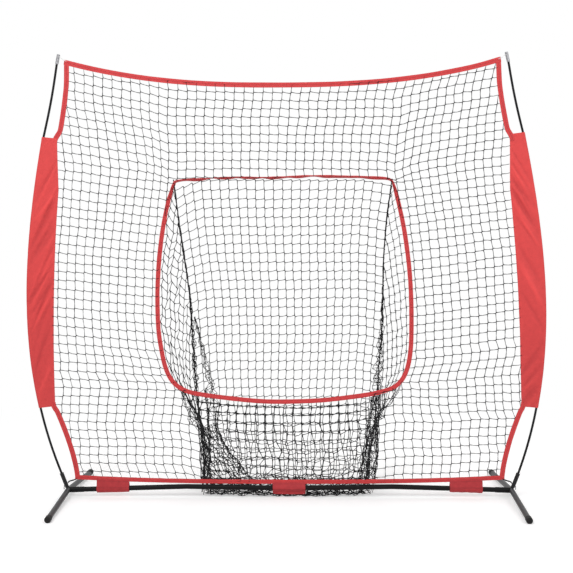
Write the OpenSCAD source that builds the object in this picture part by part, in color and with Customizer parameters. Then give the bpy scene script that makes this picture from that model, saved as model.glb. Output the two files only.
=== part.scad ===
// Pitching target net: a square knotted net with a strike-zone opening and a
// catching pocket, held open by two sprung fibreglass poles on a steel base.
// Millimetres, +Z up, origin on the floor midway between the feet.
// -Y is the side that the ball comes from.

/* [Base] */
// Half the distance between the two corners, at the crossbar's ends
corner_x = 1078; // [1000:1:1120]
// Height of the crossbar's axis at the corners
corner_z = 34; // [32:1:42]
// Distance of each crossbar bend from the middle
bend_x = 503; // [420:1:560]
// Height of the crossbar's axis at its bends
bend_z = 50.5; // [46:0.5:56]
// Height of the crossbar's axis at the middle
middle_z = 43; // [40:0.5:50]
// Outside diameter of the crossbar tube
bar_d = 24; // [22:0.5:26]
// Wall of the steel tubes
tube_wall = 1.2; // [1:0.1:1.6]
// Outside diameter of the leg tube
leg_d = 25.4; // [24:0.2:28]
// Half the distance between the two front feet
foot_x = 1064; // [1040:1:1100]
// Distance of each foot's end from the net's plane
foot_y = 474; // [400:1:520]
// Height of the leg's axis at its end
foot_z = 14.2; // [13.6:0.1:14.6]
// Outside diameter of the rubber foot cap
cap_d = 30; // [29:0.5:32]
// Length of the rubber foot cap
cap_len = 34; // [26:1:44]
// How far each corner sleeve reaches along the crossbar
sleeve_reach = 78; // [70:1:96]
// Distance of the corner snap button from the corner
button_at = 56; // [48:1:60]
// How far a snap button stands out of its hole
button_proud = 3; // [2:0.1:4]
// How far the middle spigot reaches into each half of the crossbar
spigot_reach = 122; // [118:1:150]

/* [Poles] */
// Lean of the pole sockets, outwards from upright, in degrees
socket_lean = 21; // [18:0.5:24]
// Length of the pole socket from the corner
socket_len = 84; // [72:1:100]
// Outside diameter of the pole socket
socket_d = 19; // [18.6:0.1:22]
// Diameter of the fibreglass pole
pole_d = 11; // [9:0.5:12]
// Height of the pole's tip
pole_top_z = 2138; // [2100:1:2200]
// How far the pole's tip stands outside the net's top corner
tip_out = 29; // [24:1:40]
// Number of pole sections on each side
pole_sections = 4; // [4:1:4]
// Length of the ferrules that join the pole sections
ferrule_len = 76; // [50:2:100]
// Length of the aluminium tip
tip_len = 48; // [40:1:60]
// Diameter of the aluminium tip
tip_d = 15.6; // [14.6:0.2:18]
// How far the whole net leans to one side at its top
top_lean = -29.5; // [-40:0.5:40]

/* [Net] */
// How far the pole's tip stands above the net's top corner
tip_rise = 26; // [20:1:34]
// Half width of the net at its top corners
net_top_x = 1037; // [1000:1:1045]
// How far the top edge sags between its corners
top_sag = 113; // [60:1:150]
// How much wider the net is at the sleeves' top hem than at its top corners
side_flare = 50; // [30:1:60]
// Half width of the net between its sleeves
side_x = 1130; // [1100:1:1150]
// How much narrower the net is at the sleeves' top hem
side_draw_in = 46; // [30:1:60]
// Half width of the net at its bottom corners
net_bottom_x = 1043; // [1020:1:1050]
// Height of the bottom border at the middle
net_bottom_z = 74; // [70:1:80]
// How far the bottom border rises to its corners
bottom_rise = 22; // [10:1:30]
// Width of the woven border binding
band_w = 24; // [18:1:30]
// Thickness of the folded binding
band_t = 3; // [2.4:0.1:4]
// Thickness of the net's twine
twine_t = 2; // [1.4:0.1:2.4]
// Width of a strand of the net
strand_w = 3.6; // [2.6:0.1:5]
// Gaps across the full net
gaps_across = 18; // [12:2:20]
// Gaps across each side of the opening
gaps_beside = 5; // [3:1:5]
// Gaps over the height of the opening
gaps_tall = 9; // [6:1:10]
// Gaps over the height above and below the opening
gaps_low = 4; // [3:1:4]

/* [Strike zone and pocket] */
// Half width of the opening where it is widest
zone_x = 606; // [560:1:640]
// Height at which the opening is widest
zone_wide_z = 930; // [880:1:980]
// Height of the opening's top edge
zone_top_z = 1546; // [1500:1:1580]
// Height of the opening's lower corners
zone_low_z = 515; // [490:1:540]
// How far the opening's lower edge dips at the middle
zone_dip = 50; // [20:1:70]
// Height of the opening's lower corner curves
low_curve = 95; // [80:1:110]
// Height of the opening's upper corner curves
high_curve = 46; // [36:1:60]
// How much narrower the opening is above its lower corner curves than at its widest
low_draw_in = 44; // [30:1:60]
// How much narrower the opening is below its upper corner curves than at its widest
high_draw_in = 76; // [60:1:90]
// Width of the opening's corner curves
curve_w = 92; // [80:1:100]
// Depth of the pocket at the floor
pocket_depth = 350; // [250:5:400]
// Half width of the pocket at its top edge
pocket_high_x = 515; // [500:1:525]
// Half width of the pocket at the floor
pocket_low_x = 405; // [360:1:430]
// Thickness of the pocket's netting
pocket_t = 2.4; // [1.6:0.1:3]

/* [Sleeves and tabs] */
// How far the sleeve's top hem lies below the net's top corner
sleeve_down = 368; // [340:1:400]
// Height of the sleeve's bottom hem
sleeve_low_z = 437; // [430:1:480]
// Thickness of the sleeve's cloth
cloth_t = 1; // [0.8:0.1:1.4]
// Width of each tab that wraps the crossbar
tab_w = 158; // [120:1:180]
// Distance of the outer tabs from the middle
tab_x = 858; // [800:1:900]
// How far each tab's flap hangs below the crossbar
tab_flap = 16; // [8:1:16]

/* [Hidden] */
$fn = 48;

LEFT = -1;
RIGHT = 1;
BLACK = [0.09, 0.09, 0.1];
STEEL = [0.3, 0.3, 0.32];
RED = [0.8, 0.25, 0.26];
SILVER = [0.75, 0.76, 0.78];

gap = 0.2;                      // clearance round a part that slides or seats
seat = 0.15;                    // weld gap between coped tubes
bar_r = bar_d / 2;
bar_bore = bar_d - 2 * tube_wall;
sleeve_id = bar_d + 2 * gap;
sleeve_od = sleeve_id + 2 * tube_wall;
spigot_od = bar_bore - 2 * gap;
spigot_id = spigot_od - 2 * tube_wall;

// ---------------------------------------------------------------- helpers

function unit(v) = v / norm(v);
function lerp(a, b, t) = a + (b - a) * t;
function clamp(t) = min(1, max(0, t));

// Frame with its Z along z and its X as near x as it can be.
function basis(o, z, x) =
    let (zz = unit(z), xx = unit(x - (x * zz) * zz), yy = cross(zz, xx))
    [[xx.x, yy.x, zz.x, o.x], [xx.y, yy.y, zz.y, o.y], [xx.z, yy.z, zz.z, o.z], [0, 0, 0, 1]];

module ring(od, id) {
    difference() {
        circle(d = od);
        if (id > 0) circle(d = id);
    }
}

module tube(a, b, od, id = 0) {
    across = abs(unit(b - a).y) > 0.9 ? [1, 0, 0] : [0, 1, 0];
    multmatrix(basis(a, b - a, across)) linear_extrude(norm(b - a)) ring(od, id);
}

// A tube from a to c in two straight lengths that meet in a mitre at b.
module bent_tube(a, b, c, od, id = 0) {
    d1 = unit(b - a);
    d2 = unit(c - b);
    past = od * norm(d2 - d1) / 2 + 1;
    across = abs(d1.y) > 0.9 ? [1, 0, 0] : [0, 1, 0];
    difference() {
        tube(a, b + d1 * past, od, id);
        multmatrix(basis(b, d1 + d2, across)) translate([-od, -od, 0]) cube([2 * od, 2 * od, 2 * past]);
    }
    difference() {
        tube(b - d2 * past, c, od, id);
        multmatrix(basis(b, d1 + d2, across)) translate([-od, -od, -2 * past]) cube([2 * od, 2 * od, 2 * past]);
    }
}

// Closed rings of points along a path, each square to it, with its X along ref.
function ring_points(path, r, sides, ref) = [
    for (i = [0:len(path) - 1])
        let (
            t = unit(path[min(i + 1, len(path) - 1)] - path[max(i - 1, 0)]),
            n = unit(ref - (ref * t) * t),
            b = cross(t, n)
        )
        [for (k = [0:sides - 1]) path[i] + r * (n * cos(360 * k / sides) + b * sin(360 * k / sides))]
];

function band_faces(rings, sides, start, flip) = [
    for (i = [0:rings - 2]) for (k = [0:sides - 1])
        let (
            a = start + i * sides + k,
            b = start + i * sides + (k + 1) % sides,
            c = b + sides,
            d = a + sides
        )
        each (flip ? [[a, c, b], [a, d, c]] : [[a, b, c], [a, c, d]])
];

// A solid rod through rings of points.
module loft(rings) {
    n = len(rings);
    m = len(rings[0]);
    polyhedron(
        points = [for (r = rings) each r],
        faces = concat(
            [[for (k = [0:m - 1]) m - 1 - k]],
            band_faces(n, m, 0, false),
            [[for (k = [0:m - 1]) (n - 1) * m + k]]
        )
    );
}

// A hollow tube between an outer and an inner set of rings.
module shell(outer, inner) {
    n = len(outer);
    m = len(outer[0]);
    half = n * m;
    end = (n - 1) * m;
    polyhedron(
        points = concat([for (r = outer) each r], [for (r = inner) each r]),
        faces = concat(
            band_faces(n, m, 0, false),
            band_faces(n, m, half, true),
            [for (k = [0:m - 1]) let (j = (k + 1) % m) each [[k, half + k, j], [j, half + k, half + j]]],
            [for (k = [0:m - 1]) let (j = (k + 1) % m)
                each [[end + k, end + j, half + end + k], [end + j, half + end + j, half + end + k]]]
        )
    );
}

module rod(path, d, sides = 8, ref = [0, 1, 0]) loft(ring_points(path, d / 2, sides, ref));

// ------------------------------------------------------ lines of the object

function bar_point(x) =
    abs(x) > bend_x
        ? [x, 0, lerp(bend_z, corner_z, (abs(x) - bend_x) / (corner_x - bend_x))]
        : [x, 0, lerp(middle_z, bend_z, abs(x) / bend_x)];
function corner(s) = [s * corner_x, 0, corner_z];
function bend(s) = [s * bend_x, 0, bend_z];
function bar_along(s) = unit(bend(s) - corner(s));
function foot(s, f) = [s * foot_x, f * foot_y, foot_z];
function leg_along(s, f) = unit(corner(s) - foot(s, f));
function socket_along(s) = [s * sin(socket_lean), 0, cos(socket_lean)];
function socket_point(s, h) = corner(s) + h * socket_along(s);

mouth_z = corner_z + socket_len * cos(socket_lean);
free_len = pole_top_z - mouth_z - tip_len / 2;
net_top_z = pole_top_z - tip_rise;
sleeve_top_z = net_top_z - sleeve_down;
sleeve_h = sleeve_top_z - sleeve_low_z;

// Shift of the net's plane to one side, nothing at the sockets and full at the top.
function lean(z) = top_lean * max(0, z - mouth_z) / (net_top_z - mouth_z);
// Deflection of a cantilever with a load at its end, 1 at its tip.
function beam(t) = t * t * (3 - t) / 2;
// How far the net pulls the pole's tip in from the line of its socket.
pole_pull = (corner_x + tan(socket_lean) * (pole_top_z - corner_z) - net_top_x - tip_out)
    / beam((pole_top_z - mouth_z) / free_len);
function pole_half(z) =
    corner_x + tan(socket_lean) * (z - corner_z) - pole_pull * beam(max(0, z - mouth_z) / free_len);
function pole_point(s, z) = [s * pole_half(z) + lean(z), 0, z];

// Half widths of the net from its middle, with no lean.
function upper_edge(z) =
    net_top_x + side_flare * pow(max(0, net_top_z - z) / sleeve_down, 1.6);
function lower_edge(z) =
    net_bottom_x + (side_x + band_w / 2 - net_bottom_x)
        * pow(clamp((z - net_bottom_z - band_w / 2) / (sleeve_low_z - net_bottom_z - band_w / 2)), 1.5);
function sleeve_inner(z) = side_x - side_draw_in * pow(clamp((z - sleeve_low_z) / sleeve_h / 0.61 - 0.33), 1.8);
function net_half(z) =
    z > sleeve_top_z ? upper_edge(z) - band_w / 2
    : z > sleeve_low_z ? sleeve_inner(z) + band_w / 4
    : lower_edge(z) - band_w / 2;
function top_z(x) = net_top_z - top_sag * (1 - pow(clamp(abs(x) / net_top_x), 2.5));
function bottom_z(x) = net_bottom_z + bottom_rise * pow(clamp(abs(x) / net_bottom_x), 2.6);

// The opening's outline: its sides by height, its edges by distance from the middle.
zone_corner_z = zone_low_z + low_curve;
zone_shoulder_z = zone_top_z - high_curve;
zone_corner_x = zone_x - low_draw_in;
zone_shoulder_x = zone_x - high_draw_in;
zone_low_x = zone_corner_x - curve_w;
zone_high_x = zone_shoulder_x - curve_w * 0.76;
function zone_side(z) =
    z < zone_corner_z
        ? lerp(zone_low_x, zone_corner_x, 1 - pow(1 - clamp((z - zone_low_z) / low_curve), 2))
    : z < zone_wide_z
        ? zone_x - low_draw_in * pow((zone_wide_z - z) / (zone_wide_z - zone_corner_z), 2.6)
    : z < zone_shoulder_z
        ? zone_x - high_draw_in * pow((z - zone_wide_z) / (zone_shoulder_z - zone_wide_z), 2)
    : lerp(zone_shoulder_x, zone_high_x, pow(clamp((z - zone_shoulder_z) / high_curve), 2));
function zone_bottom(x) = zone_low_z - zone_dip * (1 - pow(clamp(abs(x) / zone_low_x), 2));

// A point of the net's plane, given with no lean.
function leaned(p) = [p.x + lean(p.y), p.y];

// A flat band of even width along a line of the net's plane.
function side_step(line, i) =
    let (
        t = unit(line[min(i + 1, len(line) - 1)] - line[max(i - 1, 0)])
    )
    [-t.y, t.x];
function band_outline(line, w) = concat(
    [for (i = [0:len(line) - 1]) leaned(line[i] + side_step(line, i) * w / 2)],
    [for (i = [len(line) - 1:-1:0]) leaned(line[i] - side_step(line, i) * w / 2)]
);

module upright(thick, back = 0)
    translate([0, thick / 2 + back, 0]) rotate([90, 0, 0]) linear_extrude(thick) children();

module band(line, w = band_w, thick = band_t, back = 0)
    upright(thick, back) polygon(band_outline(line, w));

// ------------------------------------------------------------------- base

module crossbar(s) color(BLACK) difference() {
    bent_tube(corner(s) + bar_along(s) * (leg_d / 2 + 3 * gap), bend(s), [s * 1.5 * gap, 0, middle_z],
        bar_d, bar_bore);
    button_hole(bar_button(s), 1);
    if (s == RIGHT) button_hole(middle_button(), -1);
}

module crossbar_spigot() color(STEEL) difference() {
    bent_tube(bar_point(-spigot_reach), bar_point(0) + [2 * gap, 0, 0], bar_point(spigot_reach), spigot_od);
    bent_tube(bar_point(-spigot_reach - 5), bar_point(0) - [2 * gap, 0, 0], bar_point(spigot_reach + 5), spigot_id);
    button_hole(middle_button(), -1);
}

module corner_sleeve(s) color(BLACK) difference() {
    tube(corner(s), corner(s) + bar_along(s) * sleeve_reach, sleeve_od, sleeve_id);
    leg_solid(s, leg_d + 2 * seat);
    button_hole(bar_button(s), 1);
}

module leg_solid(s, od, id = 0)
    bent_tube(foot(s, -1) + leg_along(s, -1) * cap_end, corner(s), foot(s, 1) + leg_along(s, 1) * cap_end,
        od, id);

module leg_tube(s) color(STEEL) leg_solid(s, leg_d, leg_d - 2 * tube_wall);

module pole_socket(s) color(BLACK) difference() {
    tube(corner(s), socket_point(s, socket_len), socket_d, socket_id);
    leg_solid(s, leg_d + 2 * seat);
    tube(corner(s) - bar_along(s) * sleeve_od / 2, corner(s) + bar_along(s) * sleeve_reach,
        sleeve_od + 2 * seat);
}

cap_end = 4;                    // rubber between the tube's end and the foot's face
cap_round = 5;
cap_wall = (cap_d - leg_d) / 2;

module foot_cap(s, f) difference() {
    multmatrix(basis(foot(s, f), leg_along(s, f), [1, 0, 0])) rotate_extrude() polygon(concat(
        [[0, 0]],
        [for (a = [0:15:90]) [cap_d / 2 - cap_round + cap_round * sin(a), cap_round * (1 - cos(a))]],
        [
            [cap_d / 2, cap_len - 1],
            [cap_d / 2 - 1, cap_len],
            [leg_d / 2 + gap / 2, cap_len],
            [leg_d / 2 + gap / 2, cap_end - gap],
            [0, cap_end - gap]
        ]
    ));
    translate([s * foot_x - cap_len * 2, f * foot_y - cap_len * 2, -cap_d])
        cube([cap_len * 4, cap_len * 4, cap_d]);
}

module foot_caps() color(BLACK) for (s = [LEFT, RIGHT]) for (f = [-1, 1]) foot_cap(s, f);

// ------------------------------------------------------------ snap buttons

button_d = 7.4;
flange_d = 9.4;
flange_t = 1.1;
leaf_t = 0.8;
leaf_w = 7;

function bar_button(s) = corner(s) + bar_along(s) * button_at;
function middle_button() = bar_point(spigot_reach - 22);
// Distance from a bore's axis at which a flange of the button fits under its wall.
function flange_top(bore) = sqrt(pow(bore / 2, 2) - pow(flange_d / 2, 2)) - gap;

module button_hole(at, up) translate(at) rotate([up > 0 ? 0 : 180, 0, 0])
    cylinder(d = button_d + 2 * gap, h = bar_d);

module button(at, up, bore, wall_r) color(SILVER) {
    low = flange_top(bore) - flange_t;
    high = wall_r + button_proud;
    translate(at) rotate([up > 0 ? 0 : 180, 0, 0]) rotate_extrude() polygon(concat(
        [[0, low], [flange_d / 2, low], [flange_d / 2, low + flange_t], [button_d / 2, low + flange_t]],
        [for (a = [0:15:75]) [button_d / 2 * cos(a), high - 2.6 + 2.6 * sin(a)]],
        [[0, high]]
    ));
}

// A bent leaf that follows its tube: one arm on the far wall, the other under the button.
module leaf_spring(at, along, up, bore) color(STEEL) {
    top = flange_top(bore) - flange_t - gap;
    foot_r = sqrt(pow(bore / 2, 2) - pow(leaf_w / 2, 2)) - gap;
    turn_x = -20;
    turn_r = (top * 0.7 + foot_r) / 2;
    mid = top * 0.7 - turn_r;
    multmatrix(basis(at, up * [-along.z, 0, along.x], along)) rotate([90, 0, 0])
        translate([0, 0, -leaf_w / 2]) linear_extrude(leaf_w) {
            polygon([[6, top], [-6, top], [turn_x, mid + turn_r], [turn_x, mid + turn_r - leaf_t],
                [-6, top - leaf_t], [6, top - leaf_t]]);
            polygon([[turn_x, mid - turn_r], [8, mid - turn_r], [8, mid - turn_r + leaf_t],
                [turn_x, mid - turn_r + leaf_t]]);
            translate([turn_x, mid]) intersection() {
                difference() {
                    circle(r = turn_r);
                    circle(r = turn_r - leaf_t);
                }
                translate([-2 * turn_r, -turn_r]) square([2 * turn_r, 2 * turn_r]);
            }
        }
}

// ------------------------------------------------------------------ poles

socket_id = tip_d + 2 * gap;
pole_low = 24;                  // how far up its socket the pole begins
pole_foot_z = corner_z + pole_low * cos(socket_lean);
pole_end_z = pole_top_z - 18;
tip_low_z = pole_top_z - tip_len;
sides = 10;
ferrule_wall = 0.8;

function joint_z(i) = lerp(pole_foot_z, pole_end_z, i / pole_sections);
// Heights at which a section has a ring: its ends, the ferrules' ends and even steps between.
function section_z(i) =
    let (
        low = joint_z(i) + (i == 0 ? 0 : seat),
        high = joint_z(i + 1) - (i == pole_sections - 1 ? 0 : seat),
        from = i == 0 ? mouth_z : joint_z(i) + ferrule_len / 2,
        to = i == pole_sections - 1 ? tip_low_z : joint_z(i + 1) - ferrule_len / 2
    )
    concat([low], [for (k = [0:5]) lerp(from, to, k / 5)], [high]);

module pole_section(s, i) color(BLACK)
    rod([for (z = section_z(i)) pole_point(s, z)], pole_d, sides);

module pole_ferrules(s) color(STEEL) for (i = [1:pole_sections - 1]) {
    z = joint_z(i);
    path = [for (h = [-ferrule_len / 2, -seat, seat, ferrule_len / 2]) pole_point(s, z + h)];
    shell(
        ring_points(path, pole_d / 2 + gap + ferrule_wall, sides, [0, 1, 0]),
        ring_points(path, pole_d / 2 + gap, sides, [0, 1, 0])
    );
}

module pole_foot(s) color(SILVER) {
    tube(socket_point(s, pole_low - 4), socket_point(s, socket_len + gap), tip_d, pole_d + 2 * gap);
    tube(socket_point(s, socket_len + gap), socket_point(s, socket_len + 4), socket_d + 1.4, pole_d + 2 * gap);
}

function tip_along(s) = unit(pole_point(s, pole_end_z) - pole_point(s, tip_low_z));
groove_down = 10;               // from the tip's end to its groove
groove_h = 4;
neck_d = tip_d - 3.2;
tip_solid = 16;                 // length of the tip beyond its bore

module pole_tip(s) color(SILVER)
    multmatrix(basis(pole_point(s, tip_low_z), tip_along(s), [-s, 0, 0])) rotate_extrude() polygon([
        [pole_d / 2 + gap, 0], [pole_d / 2 + 0.8, 0], [tip_d / 2, 4],
        [tip_d / 2, tip_len - groove_down - groove_h], [neck_d / 2, tip_len - groove_down - groove_h],
        [neck_d / 2, tip_len - groove_down], [tip_d / 2, tip_len - groove_down],
        [tip_d / 2, tip_len - 1], [tip_d / 2 - 1, tip_len], [0, tip_len],
        [0, tip_len - tip_solid], [pole_d / 2 + gap, tip_len - tip_solid]
    ]);

// -------------------------------------------------------- cords and hooks

loop_d = 2.4;
loop_r = neck_d / 2 + loop_d / 2 + gap / 2;
loop_side = band_t / 2 + loop_d / 2 + gap;

// The cord loop that holds a top corner of the net in the groove of its pole's tip.
function net_top_corner(s) = [s * (net_top_x - band_w / 3) + lean(net_top_z), 0, net_top_z - band_w / 3];
function loop_path(s) =
    let (
        along = tip_along(s),
        in = [-s * along.z, 0, s * along.x],
        middle = pole_point(s, tip_low_z) + along * (tip_len - groove_down - groove_h / 2)
    )
    concat(
        [net_top_corner(s) - [0, loop_side, 0], middle + in * (tip_d / 2 + 2) - [0, loop_r * 0.8, 0]],
        [for (a = [-75:-22.5:-285]) middle + loop_r * (in * cos(a) + [0, sin(a), 0])],
        [middle + in * (tip_d / 2 + 2) + [0, loop_r * 0.8, 0], net_top_corner(s) + [0, loop_side, 0]]
    );

module corner_loop(s) color([0.9, 0.9, 0.9]) rod(loop_path(s), loop_d, 6, [0, 0, 1]);

hook_d = 3.4;
function hook_round(s, turn, h, r) =
    socket_point(s, h) + r * ([s * cos(socket_lean), 0, -sin(socket_lean)] * cos(turn) + [0, sin(turn), 0]);
function hook_path(s) =
    let (r = socket_d / 2 + hook_d / 2 + 0.3)
    concat(
        [hook_round(s, 180, 46, r + 9), hook_round(s, 176, 41, r + 3)],
        [for (a = [160:-20:0]) hook_round(s, a, lerp(24, 38, a / 180), r)],
        [hook_round(s, -6, 20, r + 1.4), hook_round(s, -8, 15, r + 4), hook_round(s, -8, 9, r + 5)]
    );

module corner_hook(s) color(BLACK) rod(hook_path(s), hook_d, 8, socket_along(s));

function net_corner(s) = [s * (net_bottom_x - band_w / 3), 0, net_bottom_z + bottom_rise - 2];

module bungee(s) color(BLACK) {
    start = net_corner(s);
    end = hook_path(s)[0];
    along = unit(end - start);
    rod([start, lerp(start, end, 0.6), end - along * (hook_d / 2 + 0.3)], 6, 8, [0, 1, 0]);
}

// ------------------------------------------------------ bindings and nets

upper_line = [for (k = [0:8]) let (z = lerp(net_top_z - band_w - 1, sleeve_top_z, k / 8))
    [upper_edge(z) - band_w / 2, z]];
lower_line = [for (k = [0:8]) let (z = lerp(sleeve_low_z, net_bottom_z + bottom_rise + band_w / 2 + 1, k / 8))
    [lower_edge(z) - band_w / 2, z]];
top_line = [for (k = [-12:12]) let (x = net_top_x * k / 12) [x, top_z(x) - band_w / 2]];
bottom_line = [for (k = [-12:12]) let (x = net_bottom_x * k / 12) [x, bottom_z(x)]];

function to_side(s, line) = [for (p = line) [s * p.x, p.y]];

module border_top() color(RED) band(top_line);
module border_bottom() color(RED) band(bottom_line, band_w - 3);
module border_upper(s) color(RED) band(to_side(s, upper_line));
module border_lower(s) color(RED) band(to_side(s, lower_line));

side_line = [for (k = [0:12]) let (z = lerp(zone_corner_z, zone_shoulder_z, k / 12)) [zone_side(z), z]];
low_corner = [for (k = [1:5]) let (z = lerp(zone_low_z, zone_corner_z, pow(k / 6, 2))) [zone_side(z), z]];
high_corner = [for (k = [5:-1:1]) let (z = lerp(zone_top_z, zone_shoulder_z, pow(k / 6, 2))) [zone_side(z), z]];
zone_bottom_line = concat(
    [[-zone_side(zone_corner_z), zone_corner_z - seat]],
    to_side(LEFT, [for (k = [4:-1:0]) low_corner[k]]),
    [for (k = [-6:6]) let (x = zone_low_x * k / 6) [x, zone_bottom(x)]],
    low_corner,
    [[zone_side(zone_corner_z), zone_corner_z - seat]]
);
zone_top_line = concat(
    [[-zone_side(zone_shoulder_z), zone_shoulder_z + seat]],
    to_side(LEFT, high_corner),
    [for (k = [-4:4]) [zone_high_x * k / 4, zone_top_z]],
    [for (k = [4:-1:0]) high_corner[k]],
    [[zone_side(zone_shoulder_z), zone_shoulder_z + seat]]
);
roll_w = 7;                     // height of the top binding, which the pocket rolls back

module zone_binding_side(s) color(RED) band(to_side(s, side_line));
module zone_binding_bottom() color(RED) band(zone_bottom_line);
module zone_binding_top() color(RED) band(zone_top_line, roll_w, band_w, band_w / 2 - band_t / 2);

// A flat net: a plate with a gap in every cell of a grid of points.
function cell_gap(p, i, j) =
    let (
        c = [p[i][j], p[i + 1][j], p[i + 1][j + 1], p[i][j + 1]],
        mid = (c[0] + c[1] + c[2] + c[3]) / 4,
        wide = (norm(c[1] - c[0]) + norm(c[2] - c[3])) / 2,
        tall = (norm(c[3] - c[0]) + norm(c[2] - c[1])) / 2,
        keep = 1 - strand_w / min(wide, tall)
    )
    [for (q = c) mid + (q - mid) * keep];

module flat_net(p) {
    n = len(p) - 1;
    m = len(p[0]) - 1;
    rim = concat(
        [for (i = [0:n]) p[i][0]], [for (j = [1:m]) p[n][j]],
        [for (i = [n - 1:-1:0]) p[i][m]], [for (j = [m - 1:-1:1]) p[0][j]]
    );
    gaps = [for (i = [0:n - 1]) for (j = [0:m - 1]) each cell_gap(p, i, j)];
    cells = [for (c = [0:n * m - 1]) [for (k = [0:3]) len(rim) + 4 * c + k]];
    upright(twine_t) polygon(concat(rim, gaps), concat([[for (k = [0:len(rim) - 1]) k]], cells));
}

module net_top() color(BLACK) flat_net([
    for (i = [0:gaps_across]) let (f = 2 * i / gaps_across - 1) [
        for (j = [0:gaps_low])
            let (z = lerp(zone_top_z, top_z(f * net_top_x) - band_w / 2, j / gaps_low))
            leaned([f * net_half(z), z])
    ]
]);

module net_side(s) color(BLACK) flat_net([
    for (i = [0:gaps_beside]) [
        for (j = [0:gaps_tall])
            let (z = lerp(zone_low_z, zone_top_z, (j / gaps_tall + 0.5 - cos(180 * j / gaps_tall) / 2) / 2))
            leaned([s * lerp(zone_side(z), net_half(z), i / gaps_beside), z])
    ]
]);

module net_bottom() color(BLACK) flat_net([
    for (i = [0:gaps_across]) let (f = 2 * i / gaps_across - 1) [
        for (j = [0:gaps_low])
            let (
                high = zone_bottom(f * net_half(zone_low_z)),
                z = lerp(bottom_z(f * net_bottom_x), high, j / gaps_low)
            )
            leaned([f * net_half(z), z])
    ]
]);

// ----------------------------------------------------------------- pocket

hem_z = 4;
pocket_front_y = 21;
wall_in = 0.5;                  // the netting starts this far behind the net's plane

// Point of the pocket's back, t from its top edge to the floor, f across it.
function back_half(t) = lerp(pocket_high_x, pocket_low_x, pow(t, 1.2));
function back_point(f, t) =
    let (z = lerp(zone_top_z, hem_z, t))
    [f * back_half(t) + lean(z), band_t + (pocket_depth - band_t) * (1 - pow(1 - t, 1.7)), z];
function front_half(z) =
    z > zone_low_z ? zone_side(z) : lerp(pocket_low_x - 12, zone_low_x, (z - hem_z) / (zone_low_z - hem_z));
function front_y(z) = lerp(wall_in, pocket_front_y, clamp((zone_low_z - z) / (zone_low_z - 100)));
function front_point(f, z) = [f * front_half(z) + lean(z), front_y(z), z];
function side_point(s, u, t) =
    let (z = lerp(zone_top_z - 10, hem_z, t))
    lerp(front_point(s, z), back_point(s, t), u);

// A curved net: a sheet of even thickness with a gap in every cell of a grid of points.
function sheet_normal(p, i, j) =
    let (n = len(p) - 1, m = len(p[0]) - 1)
    unit(cross(p[min(i + 1, n)][j] - p[max(i - 1, 0)][j], p[i][min(j + 1, m)] - p[i][max(j - 1, 0)]));

module curved_net(p, thick) {
    n = len(p) - 1;
    m = len(p[0]) - 1;
    grid = (n + 1) * (m + 1);
    face = [for (w = [0.5, -0.5]) [for (i = [0:n]) [for (j = [0:m]) p[i][j] + sheet_normal(p, i, j) * thick * w]]];
    holes = [for (i = [0:n - 1]) for (j = [0:m - 1]) each concat(cell_gap(face[0], i, j), cell_gap(face[1], i, j))];
    points = concat([for (w = face) for (row = w) each row], holes);
    ring_faces = [for (i = [0:n - 1]) for (j = [0:m - 1])
        let (
            a = [i * (m + 1) + j, (i + 1) * (m + 1) + j, (i + 1) * (m + 1) + j + 1, i * (m + 1) + j + 1],
            h = 2 * grid + 8 * (i * m + j)
        )
        for (k = [0:3]) let (q = (k + 1) % 4) each [
            [a[k], h + k, h + q], [a[k], h + q, a[q]],
            [grid + a[k], h + 4 + q, h + 4 + k], [grid + a[k], grid + a[q], h + 4 + q],
            [h + k, h + 4 + k, h + 4 + q], [h + k, h + 4 + q, h + q]
        ]];
    rim = concat(
        [for (i = [0:n]) i * (m + 1)], [for (j = [1:m]) n * (m + 1) + j],
        [for (i = [n - 1:-1:0]) i * (m + 1) + m], [for (j = [m - 1:-1:1]) j]
    );
    rim_faces = [for (k = [0:len(rim) - 1]) let (a = rim[k], b = rim[(k + 1) % len(rim)]) each
        [[a, b, grid + b], [a, grid + b, grid + a]]];
    polyhedron(points = points, faces = concat(ring_faces, rim_faces));
}

pocket_across = 8;
pocket_tall = 10;

module pocket_back() color(BLACK) curved_net([
    for (i = [0:pocket_across]) [for (j = [0:pocket_tall]) back_point(2 * i / pocket_across - 1, j / pocket_tall)]
], pocket_t);

module pocket_side(s) color(BLACK) curved_net([
    for (i = [0:2]) [for (j = [0:pocket_tall]) side_point(s, i / 2, lerp(0.02, 1, j / pocket_tall))]
], pocket_t);

module pocket_front() color(BLACK) curved_net([
    for (i = [0:pocket_across]) let (f = 2 * i / pocket_across - 1) [
        for (j = [0:3])
            front_point(f, lerp(zone_bottom(f * zone_low_x) - (j == 0 ? 4 : 0), hem_z, j / 3))
    ]
], pocket_t);

module pocket_floor() color(BLACK) curved_net([
    for (i = [0:pocket_across]) let (f = 2 * i / pocket_across - 1) [
        for (j = [0:2]) lerp(front_point(f, hem_z), back_point(f, 1), j / 2)
    ]
], pocket_t);

// ------------------------------------------------------- sleeves and tabs

sleeve_slack = 1.5;
nose = 7;                       // points round the pole, on each side of the sleeve
tail_steps = 2;

// Cross-section of the sleeve at height z, as offsets out from the pole and in Y.
function sleeve_ring(s, z, wall) =
    let (
        p = pole_point(s, z),
        along = unit(pole_point(s, z + 5) - pole_point(s, z - 5)),
        out = [s * along.z, 0, -s * along.x],
        r = pole_d / 2 + sleeve_slack + cloth_t - wall,
        reach = pole_half(z) - sleeve_inner(z) - wall * 9,
        flat = band_t / 2 + gap + cloth_t - wall
    )
    concat(
        [for (k = [0:nose - 1]) let (a = 90 - 180 * k / (nose - 1)) p + out * r * cos(a) + [0, r * sin(a), 0]],
        [for (k = [1:tail_steps]) p - out * reach * k / tail_steps - [0, lerp(r, flat, k / tail_steps), 0]],
        [for (k = [tail_steps:-1:1]) p - out * reach * k / tail_steps + [0, lerp(r, flat, k / tail_steps), 0]]
    );

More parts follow.
